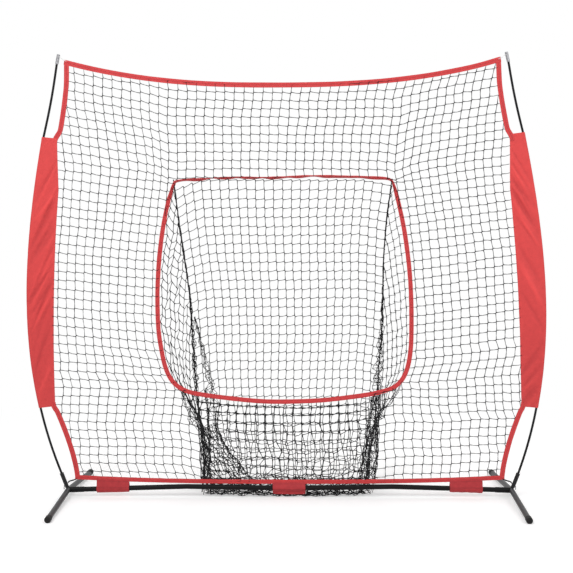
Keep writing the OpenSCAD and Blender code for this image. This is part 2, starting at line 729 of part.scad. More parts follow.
sleeve_stations = [for (k = [0:16]) lerp(sleeve_low_z, sleeve_top_z, k / 16)];

module pole_sleeve(s) color(RED) {
    outer = [for (z = sleeve_stations) sleeve_ring(s, z, 0)];
    inner = [for (z = sleeve_stations) sleeve_ring(s, z, cloth_t)];
    if (s == RIGHT) shell(outer, inner);
    else shell([for (r = outer) [for (k = [len(r) - 1:-1:0]) r[k]]], [for (r = inner) [for (k = [len(r) - 1:-1:0]) r[k]]]);
}

tab_clear = 0.4;
tab_t = 1.6;
tab_below = 6;                  // from the border's centre line down to the tab's sewn edge

// A tab's profile round the crossbar, with its neck up to the border and its flap below.
module tab(x, slope, slack = 0) color(RED) {
    c = bar_point(x) + [0, 0, slack];
    r = bar_r + tab_clear + slack;
    high = bottom_z(x) - tab_below - c.z;
    neck = band_t / 2 + 0.6;
    translate(c) rotate([0, -slope, 0]) translate([-tab_w / 2, 0, 0]) rotate([90, 0, 90])
        linear_extrude(tab_w) difference() {
            union() {
                circle(r = r + tab_t);
                polygon([[-r, 0], [r, 0], [neck, high], [-neck, high]]);
                translate([-tab_t, -r - tab_t - tab_flap]) square([2 * tab_t, r + tab_flap]);
            }
            circle(r = r);
        }
}

module bar_tabs() {
    end_slope = atan((bend_z - corner_z) / (corner_x - bend_x));
    tab(-tab_x, end_slope);
    tab(0, 0, (bar_point(tab_w / 2).z - middle_z) / 2);
    tab(tab_x, -end_slope);
}

// ------------------------------------------------------------------ nodes

crossbar(LEFT);  // crossbar_left
crossbar(RIGHT);  // crossbar_right
crossbar_spigot();
corner_sleeve(LEFT);  // corner_sleeve_left
corner_sleeve(RIGHT);  // corner_sleeve_right
leg_tube(LEFT);  // leg_tube_left
leg_tube(RIGHT);  // leg_tube_right
pole_socket(LEFT);  // pole_socket_left
pole_socket(RIGHT);  // pole_socket_right
foot_caps();
button(bar_button(LEFT), 1, bar_bore, sleeve_od / 2);  // snap_button_left
button(bar_button(RIGHT), 1, bar_bore, sleeve_od / 2);  // snap_button_right
button(middle_button(), -1, spigot_id, bar_r);  // snap_button_middle
leaf_spring(bar_button(LEFT), bar_along(LEFT), 1, bar_bore);  // button_spring_left
leaf_spring(bar_button(RIGHT), -bar_along(RIGHT), 1, bar_bore);  // button_spring_right
leaf_spring(middle_button(), unit(bend(RIGHT) - bar_point(0)), -1, spigot_id);  // button_spring_middle
pole_foot(LEFT);  // pole_foot_left
pole_foot(RIGHT);  // pole_foot_right
pole_section(LEFT, 0);  // pole_1_left
pole_section(LEFT, 1);  // pole_2_left
pole_section(LEFT, 2);  // pole_3_left
pole_section(LEFT, 3);  // pole_4_left
pole_section(RIGHT, 0);  // pole_1_right
pole_section(RIGHT, 1);  // pole_2_right
pole_section(RIGHT, 2);  // pole_3_right
pole_section(RIGHT, 3);  // pole_4_right
pole_ferrules(LEFT);  // pole_ferrules_left
pole_ferrules(RIGHT);  // pole_ferrules_right
pole_tip(LEFT);  // pole_tip_left
pole_tip(RIGHT);  // pole_tip_right
corner_loop(LEFT);  // corner_loop_left
corner_loop(RIGHT);  // corner_loop_right
bungee(LEFT);  // bungee_left
bungee(RIGHT);  // bungee_right
corner_hook(LEFT);  // corner_hook_left
corner_hook(RIGHT);  // corner_hook_right
border_top();
border_bottom();
border_upper(LEFT);  // border_upper_left
border_upper(RIGHT);  // border_upper_right
border_lower(LEFT);  // border_lower_left
border_lower(RIGHT);  // border_lower_right
pole_sleeve(LEFT);  // pole_sleeve_left
pole_sleeve(RIGHT);  // pole_sleeve_right
zone_binding_top();
zone_binding_side(LEFT);  // zone_binding_left
zone_binding_side(RIGHT);  // zone_binding_right
zone_binding_bottom();
net_top();
net_side(LEFT);  // net_left
net_side(RIGHT);  // net_right
net_bottom();
pocket_back();
pocket_side(LEFT);  // pocket_left
pocket_side(RIGHT);  // pocket_right
pocket_front();
pocket_floor();
bar_tabs();
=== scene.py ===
# %% [markdown]
# # A pitching target net with a bow frame
# Two glass-fibre poles spring out of a steel base and stretch a knotted net between them.
# The net has a strike zone, an opening bound in red tape, with a net pocket behind it that
# catches the balls. In this lesson every solid of the frame is loaded first. The hard parts
# keep their shapes and get real finishes, and everything soft is made again as real cloth,
# cord and twine.

# %% Load the frame
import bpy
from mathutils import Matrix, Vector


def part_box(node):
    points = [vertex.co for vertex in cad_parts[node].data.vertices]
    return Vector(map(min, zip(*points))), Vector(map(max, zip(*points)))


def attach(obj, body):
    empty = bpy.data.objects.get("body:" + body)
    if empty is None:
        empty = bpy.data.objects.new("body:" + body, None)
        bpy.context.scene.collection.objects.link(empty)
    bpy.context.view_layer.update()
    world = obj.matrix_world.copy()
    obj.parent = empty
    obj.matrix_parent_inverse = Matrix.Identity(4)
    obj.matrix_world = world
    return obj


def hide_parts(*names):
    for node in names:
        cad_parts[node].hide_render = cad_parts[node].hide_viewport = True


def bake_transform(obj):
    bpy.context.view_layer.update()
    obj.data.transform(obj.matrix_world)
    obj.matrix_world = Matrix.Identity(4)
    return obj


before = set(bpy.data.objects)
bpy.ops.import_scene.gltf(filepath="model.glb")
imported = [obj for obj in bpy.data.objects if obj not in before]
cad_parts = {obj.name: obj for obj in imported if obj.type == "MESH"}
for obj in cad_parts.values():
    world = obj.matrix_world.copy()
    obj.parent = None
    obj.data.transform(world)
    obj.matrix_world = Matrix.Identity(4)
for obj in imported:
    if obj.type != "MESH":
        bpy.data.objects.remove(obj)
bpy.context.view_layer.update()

import math

import bpy
import numpy as np
from mathutils import Matrix, Vector

bpy.ops.object.select_all(action="DESELECT")
MM = 0.001
ROOT = "net_and_frame"

# %% [markdown]
# The camera stands about five metres in front, at chest height, and looks down by not quite
# three degrees. A camera in Blender looks along its own minus Z, so its matrix has the right,
# up and backward directions as columns. That is surer than three angles, because a small roll
# is part of the view.

# %% Camera
eye = Vector((0.0732, -5.0, 1.2744))
yaw, pitch, roll = -0.016597, 0.049958, -0.002912
ahead = Vector((math.sin(yaw) * math.cos(pitch), math.cos(yaw) * math.cos(pitch),
                -math.sin(pitch)))
right = ahead.cross(Vector((0, 0, 1))).normalized()
up = right.cross(ahead)
right, up = (right * math.cos(roll) + up * math.sin(roll),
             up * math.cos(roll) - right * math.sin(roll))
lens = bpy.data.cameras.new("camera")
SENSOR_MM, FRAME_PIXELS, FOCAL_PIXELS = 36, 573, 1039.71
lens.sensor_width = SENSOR_MM
lens.lens = FOCAL_PIXELS * SENSOR_MM / FRAME_PIXELS
camera = bpy.data.objects.new("camera", lens)
turn = Matrix((right, up, -ahead)).transposed()
camera.matrix_world = Matrix.Translation(eye) @ turn.to_4x4()
bpy.context.scene.collection.objects.link(camera)
bpy.context.scene.camera = camera
print("lens", round(lens.lens, 2), "mm")

# %% [markdown]
# Small helpers keep the rest short. One puts a node in a node tree, one wires two sockets, and
# one starts a material with its Principled shader. Numbers that are even all over a surface,
# such as sheen or coat, are set on the shader itself.

# %% Material helpers
def add_node(tree, kind, **values):
    node = tree.nodes.new(kind)
    for name, value in values.items():
        if name in node.inputs:
            node.inputs[name].default_value = value
        else:
            setattr(node, name, value)
    return node


def math_node(tree, operation, first, second=None, third=None, clamp=False):
    node = add_node(tree, "ShaderNodeMath", operation=operation, use_clamp=clamp)
    for socket, value in zip(node.inputs, (first, second, third)):
        if value is None:
            continue
        if isinstance(value, (int, float)):
            socket.default_value = value
        else:
            tree.links.new(value, socket)
    return node.outputs[0]


def start_material(name, **values):
    material = bpy.data.materials.new(name)
    material.use_nodes = True
    tree = material.node_tree
    shader = tree.nodes["Principled BSDF"]
    for key, value in values.items():
        shader.inputs[key.replace("_", " ")].default_value = value
    return material, tree, shader


def colour_between(tree, mask, dark, light):
    mix = add_node(tree, "ShaderNodeMix", data_type="RGBA")
    mix.inputs["A"].default_value = (*dark, 1)
    mix.inputs["B"].default_value = (*light, 1)
    tree.links.new(mask, mix.inputs["Factor"])
    return mix.outputs["Result"]


def bump(tree, height, shader, strength, distance):
    node = add_node(tree, "ShaderNodeBump", Strength=strength, Distance=distance)
    tree.links.new(height, node.inputs["Height"])
    tree.links.new(node.outputs["Normal"], shader.inputs["Normal"])


# %% [markdown]
# The object stands on a plain pale floor in soft studio light. A floor that curves up into a
# backdrop would be one way. Here the floor is one large plane, and the world is white to the
# camera, to glossy and to see-through rays, so the floor can fade into it with no horizon line.
# A little white that only those rays see lifts the lit floor to the world's white and keeps
# the soft shadow under the object.

# %% The floor
FLOOR_SIZE, FLOOR_GREY, FLOOR_LIFT = 80, 0.86, 0.27
FADE_FROM, FADE_TO = 1.25, 3.2


def seen_rays(tree):
    """1 for the rays that look straight, off a gloss or through glass, and 0 for the others."""
    rays = add_node(tree, "ShaderNodeLightPath").outputs
    seen = math_node(tree, "MAXIMUM", rays["Is Camera Ray"], rays["Is Glossy Ray"])
    return math_node(tree, "MAXIMUM", seen, rays["Is Transmission Ray"])


bpy.ops.mesh.primitive_grid_add(x_subdivisions=4, y_subdivisions=4, size=FLOOR_SIZE)
floor = bpy.context.active_object
floor.name = "studio_floor"
floor_look, tree, shader = start_material(
    "studio_floor", Base_Color=(FLOOR_GREY, FLOOR_GREY, FLOOR_GREY, 1), Roughness=0.9)
seen = seen_rays(tree)
place = add_node(tree, "ShaderNodeTexCoord").outputs["Object"]
away = add_node(tree, "ShaderNodeVectorMath", operation="LENGTH")
tree.links.new(place, away.inputs[0])
fade = add_node(tree, "ShaderNodeMapRange", interpolation_type="SMOOTHSTEP")
fade.inputs["From Min"].default_value = FADE_FROM
fade.inputs["From Max"].default_value = FADE_TO
tree.links.new(away.outputs["Value"], fade.inputs["Value"])
paper = add_node(tree, "ShaderNodeEmission", Color=(1, 1, 1, 1), Strength=1.0)
lift = add_node(tree, "ShaderNodeEmission", Color=(1, 1, 1, 1))
tree.links.new(math_node(tree, "MULTIPLY", seen, FLOOR_LIFT), lift.inputs["Strength"])
near = add_node(tree, "ShaderNodeAddShader")
tree.links.new(shader.outputs[0], near.inputs[0])
tree.links.new(lift.outputs[0], near.inputs[1])
both = add_node(tree, "ShaderNodeMixShader")
tree.links.new(math_node(tree, "MULTIPLY", seen, fade.outputs["Result"]), both.inputs[0])
tree.links.new(near.outputs[0], both.inputs[1])
tree.links.new(paper.outputs[0], both.inputs[2])
tree.links.new(both.outputs[0], tree.nodes["Material Output"].inputs["Surface"])
floor.data.materials.append(floor_look)
floor.select_set(False)
print("floor of", FLOOR_SIZE, "m")

# %% [markdown]
# The world lights the object evenly from all round, at a level of its own, and three large
# round lamps add a soft key from the left, a fill from the right and a rim from behind.

# %% World and lamps
WORLD_LEVEL = 0.58
world = bpy.data.worlds.new("studio")
bpy.context.scene.world = world
world.use_nodes = True
tree = world.node_tree
back = tree.nodes["Background"]
back.inputs["Color"].default_value = (1, 1, 1, 1)
strength = math_node(tree, "MULTIPLY_ADD", seen_rays(tree), 1 - WORLD_LEVEL, WORLD_LEVEL)
tree.links.new(strength, back.inputs["Strength"])

for name, spot, size, power in (
    ("key", (-1.6, -3.4, 4.6), 3.0, 115),
    ("fill", (3.2, -3.0, 2.6), 2.4, 38),
    ("rim", (0.4, 3.6, 4.4), 2.6, 45),
):
    lamp = bpy.data.lights.new(name, "AREA")
    lamp.shape = "DISK"
    lamp.size = size
    lamp.energy = power
    holder = bpy.data.objects.new(name, lamp)
    aim = Vector((0, 0, 1.1)) - Vector(spot)
    facing = aim.to_track_quat("-Z", "Y").to_matrix().to_4x4()
    holder.matrix_world = Matrix.Translation(spot) @ facing
    bpy.context.scene.collection.objects.link(holder)
bpy.context.scene.view_settings.view_transform = "Standard"
print("stage is set")

# %% [markdown]
# Effects that several finishes share are node groups, each built once and placed in each
# material with its own values. A group puts out only masks, shades and heights. Two helpers
# start a group with its named sockets and place one in a tree.

# %% Starting and placing node groups
FLOAT, VECTOR = "NodeSocketFloat", "NodeSocketVector"


def start_group(name, inputs, outputs):
    group = bpy.data.node_groups.new(name, "ShaderNodeTree")
    for label, kind, value in inputs:
        socket = group.interface.new_socket(label, in_out="INPUT", socket_type=kind)
        if value is not None:
            socket.default_value = value
    for label in outputs:
        group.interface.new_socket(label, in_out="OUTPUT", socket_type="NodeSocketFloat")
    return group, group.nodes.new("NodeGroupInput"), group.nodes.new("NodeGroupOutput")


def use_group(tree, group, vector=None, **values):
    node = tree.nodes.new("ShaderNodeGroup")
    node.node_tree = group
    for name, value in values.items():
        socket = node.inputs[name.replace("_", " ")]
        if isinstance(value, (int, float)):
            socket.default_value = value
        else:
            tree.links.new(value, socket)
    if vector is not None:
        tree.links.new(vector, node.inputs["Vector"])
    return node.outputs


def split(tree, vector):
    node = tree.nodes.new("ShaderNodeSeparateXYZ")
    tree.links.new(vector, node.inputs[0])
    return node.outputs


print("group helpers ready")

# %% [markdown]
# The weave group makes the over-and-under of plain cloth from two crossing waves, and mottles
# it a little, because no two threads take up dye alike.

# %% The weave group
SLUB_SCALE = 55
weave, put, get = start_group(
    "plain_weave", [("Vector", VECTOR, None), ("Threads", FLOAT, 900), ("Slub", FLOAT, 0.35)],
    ["Height", "Shade"])
x, y, z = split(weave, put.outputs["Vector"])
across = math_node(weave, "SINE", math_node(weave, "MULTIPLY", x, put.outputs["Threads"]))
along = math_node(weave, "SINE", math_node(weave, "MULTIPLY", z, put.outputs["Threads"]))
crossing = math_node(weave, "MULTIPLY", across, along)
uneven = add_node(weave, "ShaderNodeTexNoise", Scale=SLUB_SCALE, Detail=4, Roughness=0.6)
weave.links.new(put.outputs["Vector"], uneven.inputs["Vector"])
weave.links.new(math_node(weave, "MULTIPLY_ADD", crossing, 0.5, 0.5), get.inputs["Height"])
mottle = math_node(weave, "MULTIPLY", math_node(weave, "SUBTRACT", uneven.outputs["Fac"], 0.5),
                   put.outputs["Slub"])
fine = math_node(weave, "MULTIPLY", crossing, 0.12)
weave.links.new(math_node(weave, "ADD", math_node(weave, "ADD", mottle, fine), 0.5, clamp=True),
                get.inputs["Shade"])
print("made", weave.name)

# %% [markdown]
# The stitch group draws a row of short dashes along a tape, from a map that runs in metres
# along the tape and from 0 to 1 across it. With a zigzag, the row swings from side to side.

# %% The stitch group
DASH_SHARE = 0.68
stitch, put, get = start_group(
    "stitch_row", [("Vector", VECTOR, None), ("Row", FLOAT, 0.5), ("Pitch", FLOAT, 0.005),
                   ("Width", FLOAT, 0.04), ("Zigzag", FLOAT, 0.0)], ["Mask"])
along, across = split(stitch, put.outputs["Vector"])[:2]
stitches = math_node(stitch, "DIVIDE", along, put.outputs["Pitch"])
dash = math_node(stitch, "LESS_THAN", math_node(stitch, "FRACT", stitches), DASH_SHARE)
swing = math_node(stitch, "PINGPONG", stitches, 1.0)
swing = math_node(stitch, "MULTIPLY", math_node(stitch, "SUBTRACT", swing, 0.5),
                  put.outputs["Zigzag"])
middle = math_node(stitch, "ADD", put.outputs["Row"], swing)
off = math_node(stitch, "ABSOLUTE", math_node(stitch, "SUBTRACT", across, middle))
near = math_node(stitch, "LESS_THAN", off, put.outputs["Width"])
stitch.links.new(math_node(stitch, "MULTIPLY", dash, near), get.inputs["Mask"])
print("made", stitch.name)

# %% [markdown]
# The twist group gives the slanted fibres of twine and cord, with a fine fuzz over them.

# %% The twist group
FIBRE_SLANT = 1.7
twist, put, get = start_group(
    "fibre_twist", [("Vector", VECTOR, None), ("Fibres", FLOAT, 2400)], ["Height", "Shade"])
x, y, z = split(twist, put.outputs["Vector"])
slant = math_node(twist, "ADD", math_node(twist, "MULTIPLY_ADD", y, FIBRE_SLANT, x), z)
ply = math_node(twist, "SINE", math_node(twist, "MULTIPLY", slant, put.outputs["Fibres"]))
fuzz = add_node(twist, "ShaderNodeTexNoise", Scale=900, Detail=3, Roughness=0.7)
twist.links.new(put.outputs["Vector"], fuzz.inputs["Vector"])
twist.links.new(math_node(twist, "MULTIPLY_ADD", ply, 0.5, 0.5), get.inputs["Height"])
twist.links.new(math_node(twist, "MULTIPLY_ADD", ply, 0.22, fuzz.outputs["Fac"], clamp=True),
                get.inputs["Shade"])
print("made", twist.name)

# %% [markdown]
# The scuff group gives the faint wear and dust that any part picks up on a lawn: soft patches
# where a large noise is high, and a fine grain.

# %% The scuff group
WORN_FROM, WORN_TO = 0.52, 0.72
scuff, put, get = start_group(
    "scuffs_and_dust", [("Vector", VECTOR, None), ("Size", FLOAT, 18), ("Amount", FLOAT, 0.3)],
    ["Mask", "Grain"])
large = add_node(scuff, "ShaderNodeTexNoise", Detail=6, Roughness=0.68)
scuff.links.new(put.outputs["Vector"], large.inputs["Vector"])
scuff.links.new(put.outputs["Size"], large.inputs["Scale"])
tiny = add_node(scuff, "ShaderNodeTexNoise", Scale=420, Detail=2)
scuff.links.new(put.outputs["Vector"], tiny.inputs["Vector"])
worn = add_node(scuff, "ShaderNodeMapRange", interpolation_type="SMOOTHSTEP")
worn.inputs["From Min"].default_value = WORN_FROM
worn.inputs["From Max"].default_value = WORN_TO
scuff.links.new(large.outputs["Fac"], worn.inputs["Value"])
patches = math_node(scuff, "MULTIPLY", worn.outputs["Result"], put.outputs["Amount"])
scuff.links.new(patches, get.inputs["Mask"])
scuff.links.new(tiny.outputs["Fac"], get.inputs["Grain"])
print("shared effects:", [g.name for g in bpy.data.node_groups])

# %% [markdown]
# Red cloth comes in three weights on the real thing: a smooth coated oxford cloth for the
# sleeves, a ribbed tape for the bindings and a coarser oxford for the tabs. All three use the
# weave group with their own thread counts, and a low sheen that is set on the shader. The
# sleeves' cloth has painted shade: its colour is darker in the hollows of its creases, which are
# an attribute of the sleeve's mesh, and darker towards the ground.

# %% Red sleeve cloth
def cloth_look(name, dark, light, threads, slub, rough, sheen, wear):
    material, tree, shader = start_material(
        name, Sheen_Weight=sheen, Sheen_Roughness=0.4, Specular_IOR_Level=0.35)
    place = add_node(tree, "ShaderNodeTexCoord").outputs["Object"]
    cloth = use_group(tree, weave, place, Threads=threads, Slub=slub)
    worn = use_group(tree, scuff, place, Size=7.0, Amount=wear)
    shade = math_node(tree, "SUBTRACT", cloth["Shade"], worn["Mask"], clamp=True)
    tree.links.new(colour_between(tree, shade, dark, light), shader.inputs["Base Color"])
    roughness = math_node(tree, "MULTIPLY_ADD", worn["Grain"], 0.14, rough)
    tree.links.new(roughness, shader.inputs["Roughness"])
    return material, tree, shader, cloth


red_cloth, tree, shader, cloth = cloth_look(
    "red_oxford_cloth", (0.50, 0.036, 0.038), (0.86, 0.075, 0.072), 2900, 0.45, 0.52, 0.16, 0.05)
bump(tree, cloth["Height"], shader, 0.35, 0.0003)
# Painted shade: the sleeve cloth's colour darkens from 1.5 m down to 0.4 m above the ground, and
# in the hollows of its creases.
UNSHADED_HEIGHT, FULL_SHADE_HEIGHT, LOW_PAINTED_SHADE, CREASE_PAINTED_SHADE = 1.5, 0.4, 0.24, 0.7
height = split(tree, add_node(tree, "ShaderNodeTexCoord").outputs["Object"])[2]
ground_shade = add_node(tree, "ShaderNodeMapRange", interpolation_type="SMOOTHSTEP")
for socket, value in (("From Min", UNSHADED_HEIGHT), ("From Max", FULL_SHADE_HEIGHT), ("To Max", LOW_PAINTED_SHADE)):
    ground_shade.inputs[socket].default_value = value
tree.links.new(height, ground_shade.inputs["Value"])
mix = shader.inputs["Base Color"].links[0].from_node
shade = mix.inputs["Factor"].links[0].from_socket
shade = math_node(tree, "SUBTRACT", shade, ground_shade.outputs["Result"])
shade = math_node(tree, "ADD", shade, CREASE_PAINTED_SHADE / 2)
# Painted shade in the creases: the hollow attribute darkens the colour.
hollow = add_node(tree, "ShaderNodeAttribute", attribute_name="hollow").outputs["Fac"]
shade = math_node(tree, "MULTIPLY_ADD", hollow, -CREASE_PAINTED_SHADE, shade, clamp=True)
tree.links.new(shade, mix.inputs["Factor"])
print("made", red_cloth.name)

# %% [markdown]
# Tape and tabs are sewn. The stitching darkens the cloth where the thread lies and presses it
# in, so the same mask goes to the colour and to the bump.

# %% Sewn tape
def sew(tree, shader, cloth, rows, thread_colour, share, depth, **stitches):
    """Rows of stitching over a cloth look, along the piece's tape map."""
    flat = add_node(tree, "ShaderNodeUVMap", uv_map="tape").outputs["UV"]
    seams = None
    for row in rows:
        mask = use_group(tree, stitch, flat, Row=row, **stitches)["Mask"]
        seams = mask if seams is None else math_node(tree, "MAXIMUM", seams, mask)
    plain = shader.inputs["Base Color"].links[0].from_socket
    thread = add_node(tree, "ShaderNodeMix", data_type="RGBA")
    thread.inputs["B"].default_value = (*thread_colour, 1)
    tree.links.new(plain, thread.inputs["A"])
    tree.links.new(math_node(tree, "MULTIPLY", seams, share), thread.inputs["Factor"])
    tree.links.new(thread.outputs["Result"], shader.inputs["Base Color"])
    bump(tree, math_node(tree, "MULTIPLY_ADD", seams, -1.4, cloth["Height"]), shader, 0.5, depth)


def tape_look(name, rows, zigzag):
    material, tree, shader, cloth = cloth_look(
        name, (0.46, 0.027, 0.031), (0.73, 0.057, 0.060), 2400, 0.8, 0.5, 0.1, 0.2)
    sew(tree, shader, cloth, rows, (0.16, 0.016, 0.02), 0.75, 0.0005,
        Pitch=0.0055, Width=0.035, Zigzag=zigzag)
    return material


border_tape = tape_look("red_border_tape", (0.5,), 0.16)
zone_tape = tape_look("red_zone_tape", (0.24, 0.78), 0.0)
print("made", border_tape.name, "and", zone_tape.name)

# %% [markdown]
# The netting is braided black polyethylene twine, and the ties are a thin white cord and a
# black bungee. They share the twist group. The twine is not pure black: worn fibres catch the
# light, so its colour runs between two very dark greys.

# %% Twine and cords
def cord_look(name, dark, light, fibres, rough, depth, sheen=0.0, gloss=0.15):
    material, tree, shader = start_material(name, Sheen_Weight=sheen, Specular_IOR_Level=gloss)
    place = add_node(tree, "ShaderNodeTexCoord").outputs["Object"]
    fibre = use_group(tree, twist, place, Fibres=fibres)
    tree.links.new(colour_between(tree, fibre["Shade"], dark, light), shader.inputs["Base Color"])
    roughness = math_node(tree, "MULTIPLY_ADD", fibre["Shade"], 0.2, rough)
    tree.links.new(roughness, shader.inputs["Roughness"])
    bump(tree, fibre["Height"], shader, 0.5, depth)
    return material


black_twine = cord_look(
    "black_twine", (0.006, 0.006, 0.007), (0.022, 0.022, 0.024), 3600, 0.6, 0.0003)
white_cord = cord_look(
    "white_cord", (0.62, 0.62, 0.62), (0.86, 0.86, 0.85), 4200, 0.6, 0.0003)
bungee_braid = cord_look(
    "black_bungee_braid", (0.002, 0.002, 0.003), (0.014, 0.014, 0.015), 2600, 0.7, 0.0006,
    gloss=0.05)
print("cord looks made")

# %% [markdown]
# The base is powder-coated steel: near-black on the crossbar, dark grey on the legs, with the
# slight orange peel of baked powder. Paint, rubber, zinc and aluminium differ in metallic,
# roughness and grain, so one function makes them all from the scuff group.

# %% Paint, metal, rubber and glass fibre
def hard_look(name, dark, light, rough, grain, wear=0.3, size=18.0, stretch=None, **values):
    material, tree, shader = start_material(name, **values)
    place = add_node(tree, "ShaderNodeTexCoord").outputs["Object"]
    if stretch:
        mapping = add_node(tree, "ShaderNodeMapping")
        mapping.inputs["Scale"].default_value = stretch
        tree.links.new(place, mapping.inputs["Vector"])
        place = mapping.outputs["Vector"]
    worn = use_group(tree, scuff, place, Size=size, Amount=wear)
    tree.links.new(colour_between(tree, worn["Mask"], dark, light), shader.inputs["Base Color"])
    soft = math_node(tree, "MULTIPLY_ADD", worn["Mask"], 0.35, rough)
    roughness = math_node(tree, "MULTIPLY_ADD", worn["Grain"], 0.08, soft)
    tree.links.new(roughness, shader.inputs["Roughness"])
    bump(tree, worn["Grain"], shader, grain, 0.0004)
    return material


# Each look: its colour, the colour where it is worn or dusty, its roughness and its grain.
black_paint = hard_look(
    "black_powder_coat", (0.005, 0.005, 0.0055), (0.020, 0.020, 0.022), 0.44, 0.12,
    Specular_IOR_Level=0.13)
socket_paint = hard_look(
    "black_textured_coat", (0.008, 0.008, 0.009), (0.06, 0.06, 0.065), 0.4, 0.5,
    size=60.0, stretch=(1, 1, 0.4), Specular_IOR_Level=0.25)
grey_paint = hard_look(
    "grey_powder_coat", (0.020, 0.020, 0.022), (0.046, 0.046, 0.049), 0.36, 0.16,
    Specular_IOR_Level=0.25)
rubber = hard_look(
    "black_cap_rubber", (0.007, 0.007, 0.007), (0.04, 0.038, 0.036), 0.62, 0.35, wear=0.5,
    Specular_IOR_Level=0.3)
zinc = hard_look(
    "zinc_plated_steel", (0.52, 0.52, 0.53), (0.34, 0.33, 0.31), 0.28, 0.1, Metallic=1.0)
black_zinc = hard_look(
    "black_zinc_plate", (0.012, 0.012, 0.013), (0.04, 0.04, 0.04), 0.4, 0.1)
aluminium = hard_look(
    "turned_aluminium", (0.33, 0.33, 0.345), (0.12, 0.12, 0.13), 0.34, 0.3, wear=0.8,
    stretch=(1, 1, 9), Metallic=1.0)
anodised = hard_look(
    "black_anodised_aluminium", (0.010, 0.010, 0.011), (0.04, 0.04, 0.042), 0.36, 0.3,
    stretch=(1, 1, 9), Specular_IOR_Level=0.35)
glass_fibre = hard_look(
    "black_glass_fibre", (0.004, 0.004, 0.005), (0.018, 0.018, 0.020), 0.36, 0.25,
    stretch=(9, 9, 0.3), Specular_IOR_Level=0.15)
print("hard looks made")

# %% [markdown]
# Hard parts whose shapes are right keep their solids, and only their finish changes. Giving a
# part its finish means putting the material in each of its slots.

# %% Finish the hard parts
def finish_part(names, material):
    for name in names:
        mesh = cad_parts[name].data
        if not mesh.materials:
            mesh.materials.append(material)
        for index in range(len(mesh.materials)):
            mesh.materials[index] = material


finish_part(["crossbar_left", "crossbar_right", "corner_sleeve_left", "corner_sleeve_right"],
            black_paint)
finish_part(["leg_tube_left", "leg_tube_right"], grey_paint)
finish_part(["pole_socket_left", "pole_socket_right"], socket_paint)
finish_part(["crossbar_spigot", "snap_button_left", "snap_button_right", "snap_button_middle"],
            zinc)
finish_part(["pole_foot_left", "pole_foot_right"], anodised)
finish_part(["pole_tip_left", "pole_tip_right"], aluminium)
print("hard parts finished")

# %% [markdown]
# Everything soft follows a few curves: the bow of a pole, the lean of the whole net to one side,
# the net's four edges and the outline of the strike zone. They are written once as functions of
# height or width, in millimetres, so that cloth, tape and twine meet exactly. A pole leans out
# with its socket, and the net bends it back in, as a beam bends that is held at one end.

# %% The bow of the poles
CORNER_X, CORNER_Z, MIDDLE_Z, BEND_X, BEND_Z = 1078.0, 34.0, 43.0, 503.0, 50.5
SOCKET_LEAN, SOCKET_LEN, POLE_LOW = math.radians(21), 84.0, 24
POLE_TOP, TIP_LEN, TIP_OUT, TOP_LEAN = 2138.0, 48, 29, -29.5
NET_TOP, NET_TOP_X, NET_LOW_X, NET_LOW_Z = 2112.0, 1037.0, 1043, 74
TOP_SAG, LOW_RISE, UPPER_FLARE, LOWER_FLARE = 113, 22, 50, 99
SLEEVE_TOP, SLEEVE_LOW, SLEEVE_SIDE, SLEEVE_DRAW = 1744.0, 437.0, 1130, 46
ZONE_TOP, ZONE_LOW, BAND = 1546.0, 511.0, 24.0
RIGHT_BOW, TIP_BOW = 7.0, 5.5
mouth_z = CORNER_Z + SOCKET_LEN * math.cos(SOCKET_LEAN)
tip_low = POLE_TOP - TIP_LEN


def clamp(t):
    return np.clip(t, 0.0, 1.0)


def lerp(a, b, t):
    return a + (b - a) * t


def lean(z):
    return TOP_LEAN * np.maximum(0, z - mouth_z) / (NET_TOP - mouth_z)


def spring(t):
    return t * t * (3 - t) / 2


free_length = POLE_TOP - mouth_z - TIP_LEN / 2
pole_pull = (CORNER_X + math.tan(SOCKET_LEAN) * (POLE_TOP - CORNER_Z) - NET_TOP_X - TIP_OUT) / (
    spring((POLE_TOP - mouth_z) / free_length))


def pole_half(z):
    return (CORNER_X + math.tan(SOCKET_LEAN) * (z - CORNER_Z)
            - pole_pull * spring(np.maximum(0, z - mouth_z) / free_length))


def bow(side, z):
    """How far a rod bends in from its free curve: near its tip, and the right one all along."""
    whole = RIGHT_BOW * (side > 0) * np.sin(math.pi * clamp((z - mouth_z) / (tip_low - mouth_z)))
    near_tip = np.sin(math.pi * clamp((z - SLEEVE_TOP) / (tip_low - SLEEVE_TOP)))
    return -side * (whole + TIP_BOW * near_tip)


def pole_point(side, z):
    return np.array([side * pole_half(z) + lean(z) + bow(side, z), 0.0, z])


print("right pole's tip at", pole_point(1, POLE_TOP).round(1))

# %% [markdown]
# The net's sides draw in between the corners and the sleeves' ends, its top edge sags, and its
# bottom edge rises to the corners.

# %% The net's edges
def upper_edge(z):
    return NET_TOP_X + UPPER_FLARE * (np.maximum(0, NET_TOP - z) / (NET_TOP - SLEEVE_TOP)) ** 1.6


def lower_edge(z):
    return NET_LOW_X + LOWER_FLARE * clamp((z - 86) / (SLEEVE_LOW - 86)) ** 1.5


def sleeve_inner(z):
    up = (z - SLEEVE_LOW) / (SLEEVE_TOP - SLEEVE_LOW)
    return SLEEVE_SIDE - SLEEVE_DRAW * clamp(up / 0.61 - 0.33) ** 1.8


def net_half(z):
    low = np.where(z > SLEEVE_LOW, sleeve_inner(z) + 6, lower_edge(z) - BAND / 2)
    return np.where(z > SLEEVE_TOP, upper_edge(z) - BAND / 2, low)


def top_z(x):
    return NET_TOP - TOP_SAG * (1 - clamp(np.abs(x) / NET_TOP_X) ** 2.5)


def bottom_z(x):
    return NET_LOW_Z + LOW_RISE * clamp(np.abs(x) / NET_LOW_X) ** 2.6


print("half the net's width at 900 mm:", float(net_half(900.0)))

# %% [markdown]
# The strike zone's edge is no plain oval: its top is nearly straight, its corners are pulled by
# the pocket, and its sides bulge. Points along it, joined by a smooth line, say it best. With
# the line known, a function can tell whether a knot lies inside it.

